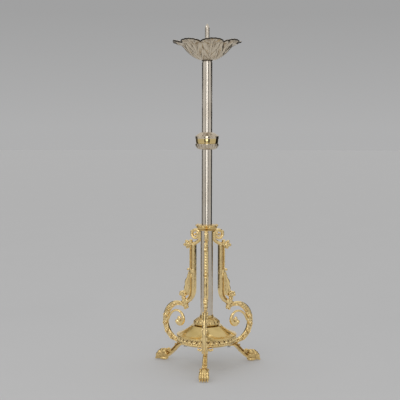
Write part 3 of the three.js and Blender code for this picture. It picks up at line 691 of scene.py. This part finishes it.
CIRCLE = [2 * math.pi * k / 14 for k in range(14)]
ROUND_SECTION = [(0.5 * math.cos(angle), 0.5 * math.sin(angle)) for angle in CIRCLE]
RIBBED_SIDE = [(-0.5, 0.1), (-0.47, 0.34), (-0.36, 0.5), (-0.2, 0.46), (-0.1, 0.26), (0.0, 0.2)]
RIBBED_HALF = RIBBED_SIDE + [(-across, deep) for across, deep in reversed(RIBBED_SIDE[:-1])]
RIBBED_SECTION = both_sides(RIBBED_HALF)
print("section points:", len(ROUND_SECTION), len(RIBBED_SECTION))


# %% Leaves and beads
def leaf(length, breadth, thick, lobes=3, bend=0.0, rise=0.0, rows=26, columns=12):
    """A cast leaf, both faces alike, from the origin along +X, its faces to +Z and -Z."""
    bpy.ops.mesh.primitive_grid_add(x_subdivisions=rows, y_subdivisions=columns, size=2)
    face = bpy.context.object
    spine = [Vector((0, 0))]
    for k in range(rows):
        heading = math.radians(bend) * (k + 0.5) / rows
        spine.append(spine[-1] + Vector((math.cos(heading), math.sin(heading))) * length / rows)
    for vertex in face.data.vertices:
        share = (vertex.co.x + 1) / 2
        side = vertex.co.y
        heading = math.radians(bend) * share
        along = Vector((math.cos(heading), math.sin(heading)))
        across = Vector((-along.y, along.x))
        envelope = math.sin(math.pi * (0.14 + 0.86 * share)) ** 0.7
        scallop = 1 - 0.34 * (1 - abs(math.sin(math.pi * (lobes * share + 0.25))) ** 0.6)
        half = breadth / 2 * envelope * scallop
        at = spine[round(share * rows)]
        at = at + across * side * half + along * (0.3 * half * side * side)
        rib = 1 - 0.4 * math.exp(-((side / 0.16) ** 2))
        vein = 1 + 0.3 * abs(side) * math.cos(2 * math.pi * (lobes * share - 0.6 * abs(side)))
        edge = max(0.0, 1 - abs(side) ** 3) ** 0.5 * min(1.0, (1 - share) * 6) ** 0.5
        climb = 1 + rise * (share - 0.5)
        vertex.co = (at.x * MM, at.y * MM, thick / 2 * MM * rib * vein * edge * climb)
    back = copied(face, Matrix.Diagonal((1, 1, -1, 1)))
    return close_up(joined(face, back), 2e-5)


def in_leg(piece, out, up, lean):
    """Stand a flat piece in the leg's plane at (out, up), lean degrees up from outward."""
    stand = Matrix.Rotation(math.pi / 2, 4, "X")
    tip = Matrix.Rotation(-math.radians(lean), 4, "Y")
    place = Matrix.Translation((out * MM, 0, up * MM))
    piece.matrix_world = place @ tip @ stand @ piece.matrix_world
    return apply_place(piece)


def bead(out, side, up, size, tall=None, deep=None):
    """A ball or an egg of this radius in mm."""
    bpy.ops.mesh.primitive_uv_sphere_add(
        segments=14, ring_count=9, radius=size * MM, location=(out * MM, side * MM, up * MM)
    )
    ball = bpy.context.object
    ball.scale = (1, (deep or size) / size, (tall or size) / size)
    return apply_place(ball)


def pressed(piece, low, high, lobes, depth, sharp, bulge=0.6, inside=19, turn=CAMERA_TURN):
    """Press a ring of lobes into a turned piece between two heights, outside a radius."""
    for vertex in piece.data.vertices:
        x, y, z = vertex.co
        radius = math.hypot(x, y)
        share = (z / MM - low) / (high - low)
        if radius < inside * MM or not 0 < share < 1:
            continue
        wave = abs(math.cos(lobes / 2 * (math.atan2(y, x) - turn)))
        dent = depth * math.sin(math.pi * share) ** bulge * (1 - wave**sharp)
        vertex.co.x *= 1 - dent * MM / radius
        vertex.co.y *= 1 - dent * MM / radius
    return piece


# %% [markdown]
# ## Column
#
# The tubes are drawn brass tube, polished and nickel plated. A spun profile with a small
# bevel at each end gives the fine dark line where a tube meets its fitting. The seat between
# the upper tube and the pan is painted a near-black metal, a painted shadow under the pan,
# and shows as a dark ring. The spike is a turned pin with an eased point.


# %% Tubes
def tube(name, body, node, groove=0.01):
    """A tube with a bevel at both ends and a groove of this depth under its upper one."""
    bottom, top, radius = span(node)
    bevel = 0.6
    wall = 2.0
    profile = [
        (radius - wall, bottom),
        (radius - bevel, bottom),
        (radius, bottom + bevel),
        (radius, top - bevel - 2.2 * groove),
        (radius - groove, top - bevel - 1.8 * groove),
        (radius - groove, top - bevel - 0.4 * groove),
        (radius - 0.2 * groove, top - bevel),
        (radius - bevel, top),
        (radius - wall, top),
        (radius - wall, bottom),
    ]
    finished(turned(profile), name, body, "nickel_polished", node)


tube("upper_tube_skin", "upper_column", "upper_tube", groove=1.5)
tube("middle_tube_skin", "lower_stand", "middle_tube")
tube("base_tube_skin", "lower_stand", "base_tube")

# %% Spike
PAN_FLOOR = span("drip_pan")[0]
_, SPIKE_TIP, SPIKE_R = span("pricket")
TANG_R = 4.0
TANG_FOOT = PAN_FLOOR - 20
spike_profile = [
    (0, TANG_FOOT),
    (TANG_R - 0.4, TANG_FOOT),
    (TANG_R, TANG_FOOT + 1),
    (TANG_R, PAN_FLOOR),
    (SPIKE_R - 0.6, PAN_FLOOR),
    (SPIKE_R, PAN_FLOOR + 0.6),
    (SPIKE_R, PAN_FLOOR + 2),
    (SPIKE_R, SPIKE_TIP - 14),
    (SPIKE_R, SPIKE_TIP - 12),
]
point = [(SPIKE_R, SPIKE_TIP - 12), (5.4, SPIKE_TIP - 6), (2.6, SPIKE_TIP - 1.2), (0, SPIKE_TIP)]
spike_profile += eased(point, 4)[1:]
finished(turned(spike_profile, 48), "spike", "upper_column", "nickel_polished", "pricket")

# %% [markdown]
# ## Drip pan
#
# The pan is a cast bowl of eight leaves whose tips flare out into a wavy rim. One petal is a
# grid bent to the bowl's profile, with a midrib, side veins and a lobed edge, and it is copied
# eight times round. A solidify modifier then gives the metal its thickness.

# %% The petals of the pan
PETALS = 8
PAN_TURN = 12.5  # degrees, the turn of the petals against the front foot
PAN_FOOT_R = 24
PAN_RIM_R = 115
PAN_WALL = 2.8
RIM_SHADE_FROM = 0.845  # the share of the way out where the painted shade on the rim begins
PAN_SHAPE = [(20.5, 0.0), (PAN_FOOT_R, 0.0), (36, 5.9), (50.4, 15.8), (62.2, 26.4), (72.2, 37.6)]
PAN_SHAPE += [(80.4, 46.2), (88.6, 50.8), (100, 55.4), (107, 59.2), (111, 61.6), (113.6, 61.9)]
PAN_SHAPE += [(114.8, 60.4), (PAN_RIM_R, 57.8)]
PAN_LINE = eased(PAN_SHAPE, 6)


def pan_point(share):
    """(radius, height above the pan's floor) at a share of the way out."""
    spot = share * (len(PAN_LINE) - 1)
    k = min(int(spot), len(PAN_LINE) - 2)
    return Vector(PAN_LINE[k]).lerp(Vector(PAN_LINE[k + 1]), spot - k)


bpy.ops.mesh.primitive_grid_add(x_subdivisions=78, y_subdivisions=48, size=2)
petal = bpy.context.object
# Each petal's outer edge is marked for the painted shade on the rim.
edge_shade = petal.data.attributes.new("rim_painted_shade", "FLOAT", "POINT")
for vertex in petal.data.vertices:
    share = (vertex.co.x + 1) / 2
    side = vertex.co.y
    spot = pan_point(share)
    outer = min(1.0, max(0.0, (spot.x - PAN_FOOT_R) / (PAN_RIM_R - PAN_FOOT_R)))
    # The outline: drawn in between the petals, with three small lobes on each.
    notch = 1 - math.cos(math.pi / 2 * side) ** 0.7
    lobe = (1 - math.cos(3 * math.pi * side + math.pi)) / 2 - 1
    drawn_in = outer**2 * (15 * notch - 3 * lobe - 3)
    radius = spot.x - max(drawn_in, 0)
    height = spot.y - outer**2 * 9 * (notch + 0.22 * abs(lobe + 0.5))
    # The relief: a midrib, side lobes with sunk eyes between them, a seam and fine ribs.
    face = math.sin(math.pi * min(1.0, outer * 1.06)) ** 0.7
    midrib = 3.0 * math.exp(-((side / 0.09) ** 2))
    phase = 3.3 * outer - 1.1 * abs(side)
    beat = math.cos(2 * math.pi * phase)
    lobes = 2.2 * beat * min(1.0, abs(side) * 3)
    eyelet = -5.0 * math.exp(-(((abs(side) - 0.6) / 0.16) ** 2)) * max(0.0, -beat) ** 3
    seam = -4.0 * math.exp(-(((1 - abs(side)) / 0.09) ** 2))
    ribs = 0.5 * math.cos(2 * math.pi * 4 * side) * outer
    relief = face * (midrib + lobes + eyelet + seam + ribs)
    radius += relief * 0.55
    height -= relief * 0.8
    spread = math.pi / PETALS * side
    vertex.co = (radius * math.cos(spread) * MM, radius * math.sin(spread) * MM, height * MM)
    edge_shade.data[vertex.index].value = min(1.0, max(0.0, (share - RIM_SHADE_FROM) / 0.025))
pan = around(petal, PETALS, math.radians(-90 + PAN_TURN))
pan.location.z = PAN_FLOOR * MM
apply_place(pan)
close_up(pan, 5e-5)
modify(pan, "SOLIDIFY", thickness=PAN_WALL * MM, offset=-1)
modify(pan, "SMOOTH", factor=0.5, iterations=1)
finished(pan, "leaf_pan", "drip_pan", "nickel_cast", "drip_pan", crease=60)

# %% [markdown]
# ## Knop
#
# The knop is three turned pieces: two cups with a ring of shallow lobes and a plain polished
# band between them. The upper cup's skirt laps over the band and hides the joint where the
# stand comes apart.

# %% Knop
KNOP_SPLIT, CUP_TOP, KNOP_R = span("knop_upper_cup")
BAND_LOW, _, BAND_R = span("knop_band")
CUP_FOOT = span("knop_lower_cup")[0]
TUBE_R = span("middle_tube")[2]
BORE_R = TUBE_R + 0.25
CUP_SKIRT = KNOP_SPLIT - 5.5  # the upper cup laps over the top of the band by this much
SKIRT_BORE_R = BAND_R + 0.3
CUP_BELLY = CUP_TOP - 13.4
CUP_LINE = [(TUBE_R + 0.9, 0), (TUBE_R + 4, -0.8), (28, -4.2), (34, -8.3), (38.2, -11.5)]
cup_line = eased([*raised(CUP_TOP, CUP_LINE), (KNOP_R, CUP_BELLY)])
upper_cup = [(BORE_R, KNOP_SPLIT + 3), (BORE_R, CUP_TOP - 0.8), *cup_line]
upper_cup += [(KNOP_R, CUP_SKIRT + 0.7), (KNOP_R - 0.4, CUP_SKIRT), (SKIRT_BORE_R, CUP_SKIRT)]
upper_cup += [(SKIRT_BORE_R, KNOP_SPLIT + 0.3), (KNOP_R - 5, KNOP_SPLIT + 0.3)]
upper_cup += [(KNOP_R - 6, KNOP_SPLIT + 3), (BORE_R, KNOP_SPLIT + 3)]
cup = pressed(turned(upper_cup, 288), CUP_BELLY, CUP_TOP, 9, 4.4, 0.45)
finished(cup, "upper_cup", "upper_column", "nickel_cast", "knop_upper_cup")

BAND_BACK = BAND_R - 3.4
BAND_LINE = [(BAND_R - 2.1, 0), (BAND_R - 1.2, 3.5), (BAND_R - 0.5, 8), (BAND_R - 0.1, 12.5)]
band_line = raised(BAND_LOW, [*BAND_LINE, (BAND_R, 16)])
band_line += raised(KNOP_SPLIT, [(BAND_R - 0.1, -3), (BAND_R - 0.6, -0.4)])
band = [(BAND_BACK, BAND_LOW), *eased(band_line, 3)]
band += [(BAND_BACK, KNOP_SPLIT - 0.4), (BAND_BACK, BAND_LOW)]
finished(turned(band, 144), "polished_band", "lower_stand", "brass_polished", "knop_band")

BOWL_TOP = [(BORE_R, -3), (KNOP_R - 5, -3), (KNOP_R - 4, -0.3)]
BOWL_LINE = [(KNOP_R - 0.8, -0.3), (KNOP_R, -1.2), (38.6, -6), (36.4, -11), (33.2, -15)]
BOWL_LINE += [(28.5, -18.2)]
bowl_line = eased([*raised(BAND_LOW, BOWL_LINE), (TUBE_R + 2.5, CUP_FOOT)])
lower_cup = [*raised(BAND_LOW, BOWL_TOP), *bowl_line, (BORE_R, CUP_FOOT + 0.8)]
lower_cup.append(lower_cup[0])
cup = pressed(turned(lower_cup, 288), CUP_FOOT, BAND_LOW - 1.5, 18, 2.6, 0.45)
finished(cup, "lower_cup", "lower_stand", "nickel_cast", "knop_lower_cup")

# %% [markdown]
# ## Collar
#
# Where the column steps out to the wide tube, a crown of leaves hides the joint. A turned
# core carries nine leaves that lean outward, all in one casting. A bead at each tip is the
# leaf's curl, and another fills the gap to the next leaf.

# %% Collar
CROWN = 9
CROWN_LEAF = 25
BASE_R = span("base_tube")[2]
BASE_FIT = BASE_R + 0.3
TUBE_FIT = TUBE_R + 0.3
COLLAR_LOW = span("top_collar")[0]
CORE_LINE = [(BASE_FIT, 0), (BASE_FIT + 2.3, 0), (BASE_FIT + 3.2, 1.2), (BASE_FIT + 2.4, 3.0)]
CORE_LINE += [(29, 5.4), (32.6, 9), (34.4, 13), (34.4, 17), (32.2, 19.6), (21, 18)]
CORE_LINE += [(TUBE_FIT, 18), (TUBE_FIT, 3.3), (BASE_FIT, 3.3), (BASE_FIT, 0)]
core = turned(raised(COLLAR_LOW, CORE_LINE))
big_leaf = leaf(CROWN_LEAF, 22, 8)
for vertex in big_leaf.data.vertices:
    share = vertex.co.x / (CROWN_LEAF * MM)
    arch = 3.6 * MM * math.sin(math.pi * min(1, share))
    vertex.co.z += arch - 1.5 * MM * max(0, share - 0.75) / 0.25
stood = Matrix.Translation((28.4 * MM, 0, (COLLAR_LOW - 2.2) * MM))
big_leaf.matrix_world = stood @ Matrix.Rotation(-math.radians(70), 4, "Y")
apply_place(big_leaf)
curl_over = bead(34.6, 0, COLLAR_LOW + 17.6, 3.4, 2.8, 5.6)
crown = around(joined(big_leaf, curl_over), CROWN, math.radians(-90))
between_leaf = bead(32.4, 0, COLLAR_LOW + 12, 3.0, 6.5, 3.4)
crown_between = around(between_leaf, CROWN, math.radians(-70))
collar = melted([core, crown, crown_between], 0.7)
finished(collar, "leaf_collar", "lower_stand", "brass_cast", "top_collar", metal="brass_toned")

# %% [markdown]
# ## Scroll bracket
#
# Each leg of the tripod is one openwork casting: a ribbed upright, an arm with a volute under
# the collar, a great C-scroll clothed in leaves, a curled tendril inside it, and a bud. The
# curves are drawn as separate closed forms in the leg's plane, leaves and beads are set along
# them, and a voxel remesh melts them into one casting. Two turned copies make the tripod.

# %% Curves of the bracket
BAR_AXIS = 56.5
BAR_TOP = 414
BAR_FOOT = 262
ARM_END = (70.5, 412)
KNOT_UP = 322
BUD_AXIS = 96.1
VOLUTE_EYE = (47.5, 448)
TENDRIL_EYE = (114, 148)
SCROLL_EYE = (113, 141)
SCROLL_REACH = (55.5, 64)
SCROLL_WIDTH = 19.5
SCROLL_STEPS = 60
LEG_TURNS = [math.radians(angle) for angle in (-90, 30, 150)]

SCROLL_FROM, SCROLL_SWEEP = 122, 214  # degrees
scroll_shares = [k / SCROLL_STEPS for k in range(SCROLL_STEPS + 1)]
scroll_angles = [math.radians(SCROLL_FROM - SCROLL_SWEEP * share) for share in scroll_shares]
great_scroll = []
for angle in scroll_angles:
    out = SCROLL_EYE[0] + SCROLL_REACH[0] * math.cos(angle)
    up = SCROLL_EYE[1] + SCROLL_REACH[1] * math.sin(angle)
    great_scroll.append(Vector((out, up)))
volute_line = scroll_line(VOLUTE_EYE, 22.4, 12.04, 154, -205, 0.9)
tendril_line = scroll_line(TENDRIL_EYE, 46.5, 9.5, -6, 322, 1.75)
tendril_line = [Vector((p.x - 2, 149 + (p.y - TENDRIL_EYE[1]) * 1.2)) for p in tendril_line]
hook_line = bezier((BAR_AXIS, 263), (BAR_AXIS, 238), (62, 223.2), (91.1, 212.2))
arm_line = bezier((25, 438), (29, 427), (46.5, 414), ARM_END)
bar_line = [Vector((BAR_AXIS, BAR_TOP + (BAR_FOOT - BAR_TOP) * k / 12)) for k in range(13)]


def swell(low, high, power=0.6):
    """A size that grows from low at both ends to high in the middle."""
    return lambda t: low + (high - low) * max(0.0, math.sin(math.pi * t)) ** power


def taper(first, last):
    return lambda t: first + (last - first) * t


def ramp(t, first, last):
    share = min(1.0, max(0.0, (t - first) / (last - first)))
    return share * share * (3 - 2 * share)


def scroll_width(t):
    return SCROLL_WIDTH * (0.56 + 0.44 * ramp(t, 0, 0.4) - 0.48 * ramp(t, 0.8, 1))


def tendril_width(t):
    return 8 + 9.5 * ramp(t, 0.3, 0.62) - 3.5 * ramp(t, 0.85, 1)


print("scroll points:", len(great_scroll), "tendril points:", len(tendril_line))

# %% Strips of the bracket
# Across from the inner edge to the outer: a flat inner face, a broad reed, a groove, a bead.
BAR_SIDE = [(-0.5, 0.42), (-0.47, 0.5), (-0.38, 0.5), (-0.28, 0.44), (-0.14, 0.5), (-0.02, 0.42)]
BAR_SIDE += [(0.04, 0.07), (0.21, 0.07), (0.29, 0.36), (0.38, 0.43), (0.47, 0.34), (0.5, 0.16)]
BAR_SECTION = both_sides(BAR_SIDE)
SCROLL_SIDE = [(-0.5, 0.3), (-0.42, 0.44), (-0.3, 0.36), (-0.1, 0.4), (0.1, 0.4), (0.28, 0.36)]
SCROLL_SIDE += [(0.38, 0.4), (0.47, 0.26), (0.5, 0.1)]
spine_line = []
for k, (spot, away) in enumerate(zip(great_scroll, scroll_angles)):
    reach = scroll_width(k / SCROLL_STEPS) / 2 - 1.2
    spine_line.append(spot + Vector((math.cos(away), math.sin(away))) * reach)
BAR_WIDE, BAR_DEEP = 22, 15.5
strips = [
    drawn(both_sides(SCROLL_SIDE), great_scroll, scroll_width, swell(10, 12)),
    drawn(ROUND_SECTION, spine_line, taper(6, 6), taper(7.5, 7.5)),
    drawn(BAR_SECTION, bar_line, taper(BAR_WIDE, BAR_WIDE), taper(BAR_DEEP, BAR_DEEP)),
    drawn(BAR_SECTION, hook_line, taper(BAR_WIDE, 14), taper(BAR_DEEP, 12)),
    drawn(ROUND_SECTION, arm_line, taper(13, 11), taper(13, 10)),
    drawn(ROUND_SECTION, volute_line, taper(11, 10), taper(12, 11)),
    drawn(ROUND_SECTION, tendril_line, tendril_width, taper(10, 11)),
]
print("strips:", len(strips))

# %% Leaves and beads of the bracket
sprigs = []


def set_leaf(out, up, lean, length, breadth, thick, lobes=3, bend=0.0, rise=0.0):
    sprigs.append(in_leg(leaf(length, breadth, thick, lobes, bend, rise), out, up, lean))


def set_bead(out, up, size, tall, deep):
    sprigs.append(bead(out, 0, up, size, tall, deep))


def leaves_along(line, first, last, count, side, lean, length, breadth, off):
    """Overlapping leaves along a line, on one side of it (1 = left of the way along)."""
    for k in range(count):
        share = first + (last - first) * k / (count - 1)
        spot = share * (len(line) - 1)
        i = min(int(spot), len(line) - 2)
        way = (line[i + 1] - line[i]).normalized()
        at = line[i].lerp(line[i + 1], spot - i) + Vector((-way.y, way.x)) * side * off
        heading = math.degrees(math.atan2(way.y, way.x)) + side * lean
        size = scroll_width(share) / SCROLL_WIDTH
        set_leaf(at.x, at.y, heading, length * size, breadth * size, 17, 2, -side * 25, 0.9)


# The great scroll's two rows.
leaves_along(great_scroll, 0.04, 0.87, 8, 1, 15, 33, 14, -2.6)
leaves_along(great_scroll, 0.1, 0.84, 8, -1, 18, 28, 13, 2.4)
# The end of the arm, with its bead.
set_leaf(*ARM_END, 42, 21, 14, 11)
set_leaf(*ARM_END, -6, 24, 15, 12)
set_leaf(*ARM_END, -56, 18, 12, 11)
set_leaf(BAR_AXIS + 6, BAR_TOP + 2, 80, 15, 13, 13, 2)
set_bead(ARM_END[0] + 2, ARM_END[1], 5.6, 5.6, 6.6)
# The knot, and the leaves that climb the bar below it.
set_leaf(BAR_AXIS + 7, KNOT_UP + 2, 24, 17, 10, 10, 2, -40)
set_leaf(BAR_AXIS + 7, KNOT_UP - 2, -38, 13, 8, 10, 2, 30)
set_leaf(BAR_AXIS + 7, 318, -70, 84, 27, 6, 3, -6)
set_leaf(BAR_AXIS + 8, 270, -62, 38, 20, 6, 2, -10)
# The calyx where the hook meets the scroll, and the bud on it.
set_leaf(BUD_AXIS, 241, -98, 34, 17, 11)
set_leaf(58.3, 218, -10, 46, 16, 12, 3, 8)
set_leaf(81, 211, -74, 27, 14, 12)
set_leaf(85, 212, -112, 24, 12, 11)
set_leaf(84, 209, -40, 20, 10, 12, 2, 20)
set_bead(80.5, 216, 7.5, 7.0, 7.5)
for petal_lean, size in ((12, 15), (50, 17.5), (92, 16.5), (134, 17.5), (172, 14)):
    set_leaf(BUD_AXIS, 235.5, petal_lean, size, 13, 14, 2)
set_bead(BUD_AXIS, 238.5, 6.2, 7.0, 7.0)
for lump in range(4):
    set_bead(BAR_AXIS, KNOT_UP - 4.5 + 3 * lump, 13.0, 2.4, 9.4)
# The ends of the tendril and of the volute, and the row of beads down the bar.
set_bead(*tendril_line[-1], 7.4, 7.6, 7.4)
set_bead(113, 150, 7.0, 10.5, 4.6)
set_bead(*volute_line[-1], 5.4, 6.0, 7)
set_bead(*VOLUTE_EYE, 4.2, 4.2, 6)
set_leaf(31, 459, 28, 38, 12, 12, 3, -75)
for row in range(17):
    set_bead(BAR_AXIS + 9.8, BAR_TOP - 4 - 9.4 * row, 3.4, 4.0, 4.8)
print("leaves and beads:", len(sprigs))


# %% Pads that meet the column and the base
def block(size, out, up, bevel):
    """A block in the leg's plane with bevelled edges."""
    bpy.ops.mesh.primitive_cube_add(size=MM)
    pad = bpy.context.object
    pad.scale = size
    pad.location = (out * MM, 0, up * MM)
    return modify(apply_place(pad), "BEVEL", width=bevel * MM, segments=2)


def three_legs(casting, name, node, metal):
    """A leg's casting and its turned copies, each with its own mesh."""
    legs = [copied(casting, Matrix.Rotation(turn, 4, "Z")) for turn in LEG_TURNS]
    bpy.data.objects.remove(casting)
    for number, leg in enumerate(legs, 1):
        label, replaced = "%s_%d" % (name, number), "%s_%d" % (node, number)
        finished(leg, label, "lower_stand", "brass_cast", replaced, crease=60, metal=metal)


pads = [block((9.5, 14, 30), 26.0, 444, 1.2), block((43, 18.6, 11.8), 91.5, 78, 1.5)]
for side in (-1, 1):
    for across, up, size in ((11.5, 78.5, 5.2), (17, 76.5, 4.6), (22.5, 78.5, 4.4), (25, 81, 2.6)):
        pads.append(bead(93, side * across, up, size, size * 0.95, size))
bracket = melted(strips + sprigs + pads, 0.95)
three_legs(bracket, "bracket_casting", "scroll_bracket", "brass_cast")

# %% [markdown]
# ## Lion paws
#
# Below the base each leg goes on as a slim limb that ends in a paw: four rounded toes with
# claws, over a sole that is flat where it stands. Eggs of metal are set on the drawn limb and
# melted with it, and a cut along the floor makes the sole.

# %% Paw foot
SOLE = 0.0002  # the height of the cut that makes the sole flat
limb_line = bezier((104, 65.5), (122, 62.25), (139, 25), (176, 9.5), 20)
limb = drawn(BAR_SECTION, limb_line, taper(13, 15), swell(14, 17))
limb_top = bezier((84, 66), (92, 66), (98, 66), (104, 65.5), 6)
limb_root = drawn(RIBBED_SECTION, limb_top, taper(11.4, 12), taper(17, 14))
sprigs = []
set_leaf(112, 64, 40, 11, 9, 9, 2)
set_leaf(124, 55, 62, 10, 8, 9, 2)
set_leaf(128, 46, -95, 10, 8, 9, 2)
set_leaf(141, 33, 28, 26, 13, 18, 2, -36)
paw = sprigs + [limb, limb_root]
# The pad of the paw, its back and its sole.
paw += [bead(182, 0, 20, 17.5, 18.5, 15), bead(171, 0, 21, 13, 15, 13)]
paw += [bead(178, 0, 6, 19, 7.4, 14.4)]
# A cuff of five lobes over the toes.
for lobe in range(-2, 3):
    paw.append(bead(173 - abs(lobe) * 1.5, lobe * 6.0, 34.6 - abs(lobe) * 1.8, 9.0, 5.4, 4.0))
# Each toe has two joints and a claw.
for toe in range(4):
    side = (toe - 1.5) * 7.8
    forward = 198.5 - abs(toe - 1.5) * 2.8
    paw.append(bead(forward - 5.5, side * 0.9, 24.0, 9.0, 8.4, 6.4))
    paw.append(bead(forward - 0.5, side * 0.97, 14.0, 9.8, 12.0, 6.3))
    paw.append(bead(forward + 7.2, side * 1.06, 4.2, 4.2, 4.0, 2.6))
paw = melted(paw, 0.75)
with editing(paw):
    bpy.ops.mesh.bisect(
        plane_co=(0, 0, SOLE), plane_no=(0, 0, 1), use_fill=True, clear_inner=True
    )
    bpy.ops.mesh.select_all(action="SELECT")
    bpy.ops.mesh.normals_make_consistent(inside=False)
three_legs(paw, "paw_casting", "paw_foot", "brass_toned")

# %% [markdown]
# ## Base
#
# The base is a stack on the same axis: a plate, an ornamental gallery with curls and beads,
# a polished dome that mirrors the brackets, a gadrooned knob and a thin neck ring. All are
# turned. The knob's lobes are pressed in, and the gallery's curls are melted to its rail.

# %% Dome
DOME_LOW, DOME_TOP, _ = span("base_dome")
LIP_LINE = [(101.3, 0.4), (101.5, 1.6), (100.2, 2.8), (97, 3.6)]
SLOPE_LINE = [(97, 3.5), (86.3, 7.4), (74.4, 14), (62, 22.9), (54.3, 29.3)]
CROWN_LINE = raised(DOME_TOP, [(50.5, -0.4), (47, 0)])
dome_line = eased(raised(DOME_LOW, LIP_LINE), 3)
dome_line += eased(raised(DOME_LOW, SLOPE_LINE) + CROWN_LINE, 8)
dome_line += raised(DOME_TOP, [(28, 0), (28, -2.4), (43, -2.6)])
dome_line += [*raised(DOME_LOW, [(70, 12.6), (92, 2), (98, 0.4)]), dome_line[0]]
dome = turned(dome_line, 160)
finished(dome, "polished_dome", "lower_stand", "brass_polished", "base_dome", metal="brass_satin")

# %% Knob and neck ring
KNOB_LOW, KNOB_TOP, KNOB_R = span("dome_knob")
KNOB_BORE = BASE_R + 0.4
KNOB_LINE = [(34, 0), (39, 0.5), (KNOB_R - 1.6, 3), (KNOB_R, 8), (KNOB_R - 1.4, 14), (37, 20)]
knob_line = raised(KNOB_LOW, [*KNOB_LINE, (30, 24.6)])
knob_line = eased([*knob_line, (25, KNOB_TOP - 0.3), (KNOB_BORE, KNOB_TOP)], 5)
knob = turned([(KNOB_BORE, KNOB_LOW), *knob_line, (KNOB_BORE, KNOB_LOW)], 192)
pressed(knob, KNOB_LOW, KNOB_TOP, 12, 3.2, 0.55, bulge=0.5, inside=26, turn=0.0)
names = ("gadrooned_knob", "lower_stand", "brass_cast", "dome_knob")
finished(knob, *names, crease=50, metal="brass_knob")

RING_LOW, RING_TOP, RING_R = span("dome_neck_ring")
RING_LINE = raised(RING_LOW, [(RING_R - 0.4, 0.8), (RING_R, 2.2), (RING_R - 1.6, 3.8)])
BEAD_LINE = raised(RING_LOW, [(RING_R - 1.9, 4.6), (RING_R - 1.2, 6)])
ring_line = [(BASE_FIT, RING_LOW), (RING_R - 1.4, RING_LOW), *eased(RING_LINE, 4)]
ring_line += eased([*BEAD_LINE, (RING_R - 2, RING_TOP)], 4)
ring_line += [(BASE_FIT, RING_TOP), (BASE_FIT, RING_LOW)]
finished(turned(ring_line), "neck_ring", "lower_stand", "brass_polished", "dome_neck_ring")

# %% Gallery
GALLERY_LOW, GALLERY_TOP, GALLERY_R = span("base_gallery")
CURLS = 32
CURL_AT = GALLERY_R - 3.6
# The rail's points are given inward of its face.
RAIL_LINE = raised(GALLERY_LOW, [(7, 0), (1.2, 0), (0.2, 1), (0.6, 2.4), (5.6, 3.2), (6, 6)])
RAIL_LINE += raised(GALLERY_TOP, [(6, -5), (4.4, -3), (0.8, -2.6), (0.4, -1), (1.4, 0), (7, 0)])
rail = turned([(GALLERY_R - inward, up) for inward, up in [*RAIL_LINE, RAIL_LINE[0]]], 160)
bpy.ops.mesh.primitive_torus_add(
    major_segments=24,
    minor_segments=8,
    major_radius=6.2 * MM,
    minor_radius=1.5 * MM,
    location=(CURL_AT * MM, 0, (GALLERY_LOW + 9.3) * MM),
    rotation=(0, math.pi / 2, 0),
)
curl = apply_place(bpy.context.object)
eye = bead(CURL_AT, 0, GALLERY_LOW + 8.4, 4.5)
step = math.pi / CURLS
out, side = (GALLERY_R - 3.4) * math.cos(step), (GALLERY_R - 3.4) * math.sin(step)
rows = ((5.4, 3.4), (15.4, 1.8))
between = [bead(out, side, GALLERY_LOW + up, 2.0, tall) for up, tall in rows]
curls = around(joined(curl, eye, *between), CURLS, math.radians(-90))
gallery = melted([rail, curls], 0.8, 1)
names = ("curled_gallery", "lower_stand", "brass_cast", "base_gallery")
finished(gallery, *names, crease=60, metal="brass_gallery")

# %% Plate
PLATE_LOW, PLATE_TOP, PLATE_R = span("base_plate")
PLATE_LINE = [(5, 0), (PLATE_R - 7, 0), (PLATE_R - 5, 0.6), (PLATE_R - 3.6, 2.4)]
plate_line = raised(PLATE_LOW, [*PLATE_LINE, (PLATE_R - 1.6, 3.4)])
plate_line += raised(PLATE_TOP, [(PLATE_R - 0.6, -0.8), (PLATE_R - 1.4, 0), (5, 0)])
plate = turned([*plate_line, plate_line[0]], 160)
finished(plate, "turned_plate", "lower_stand", "brass_polished", "base_plate")
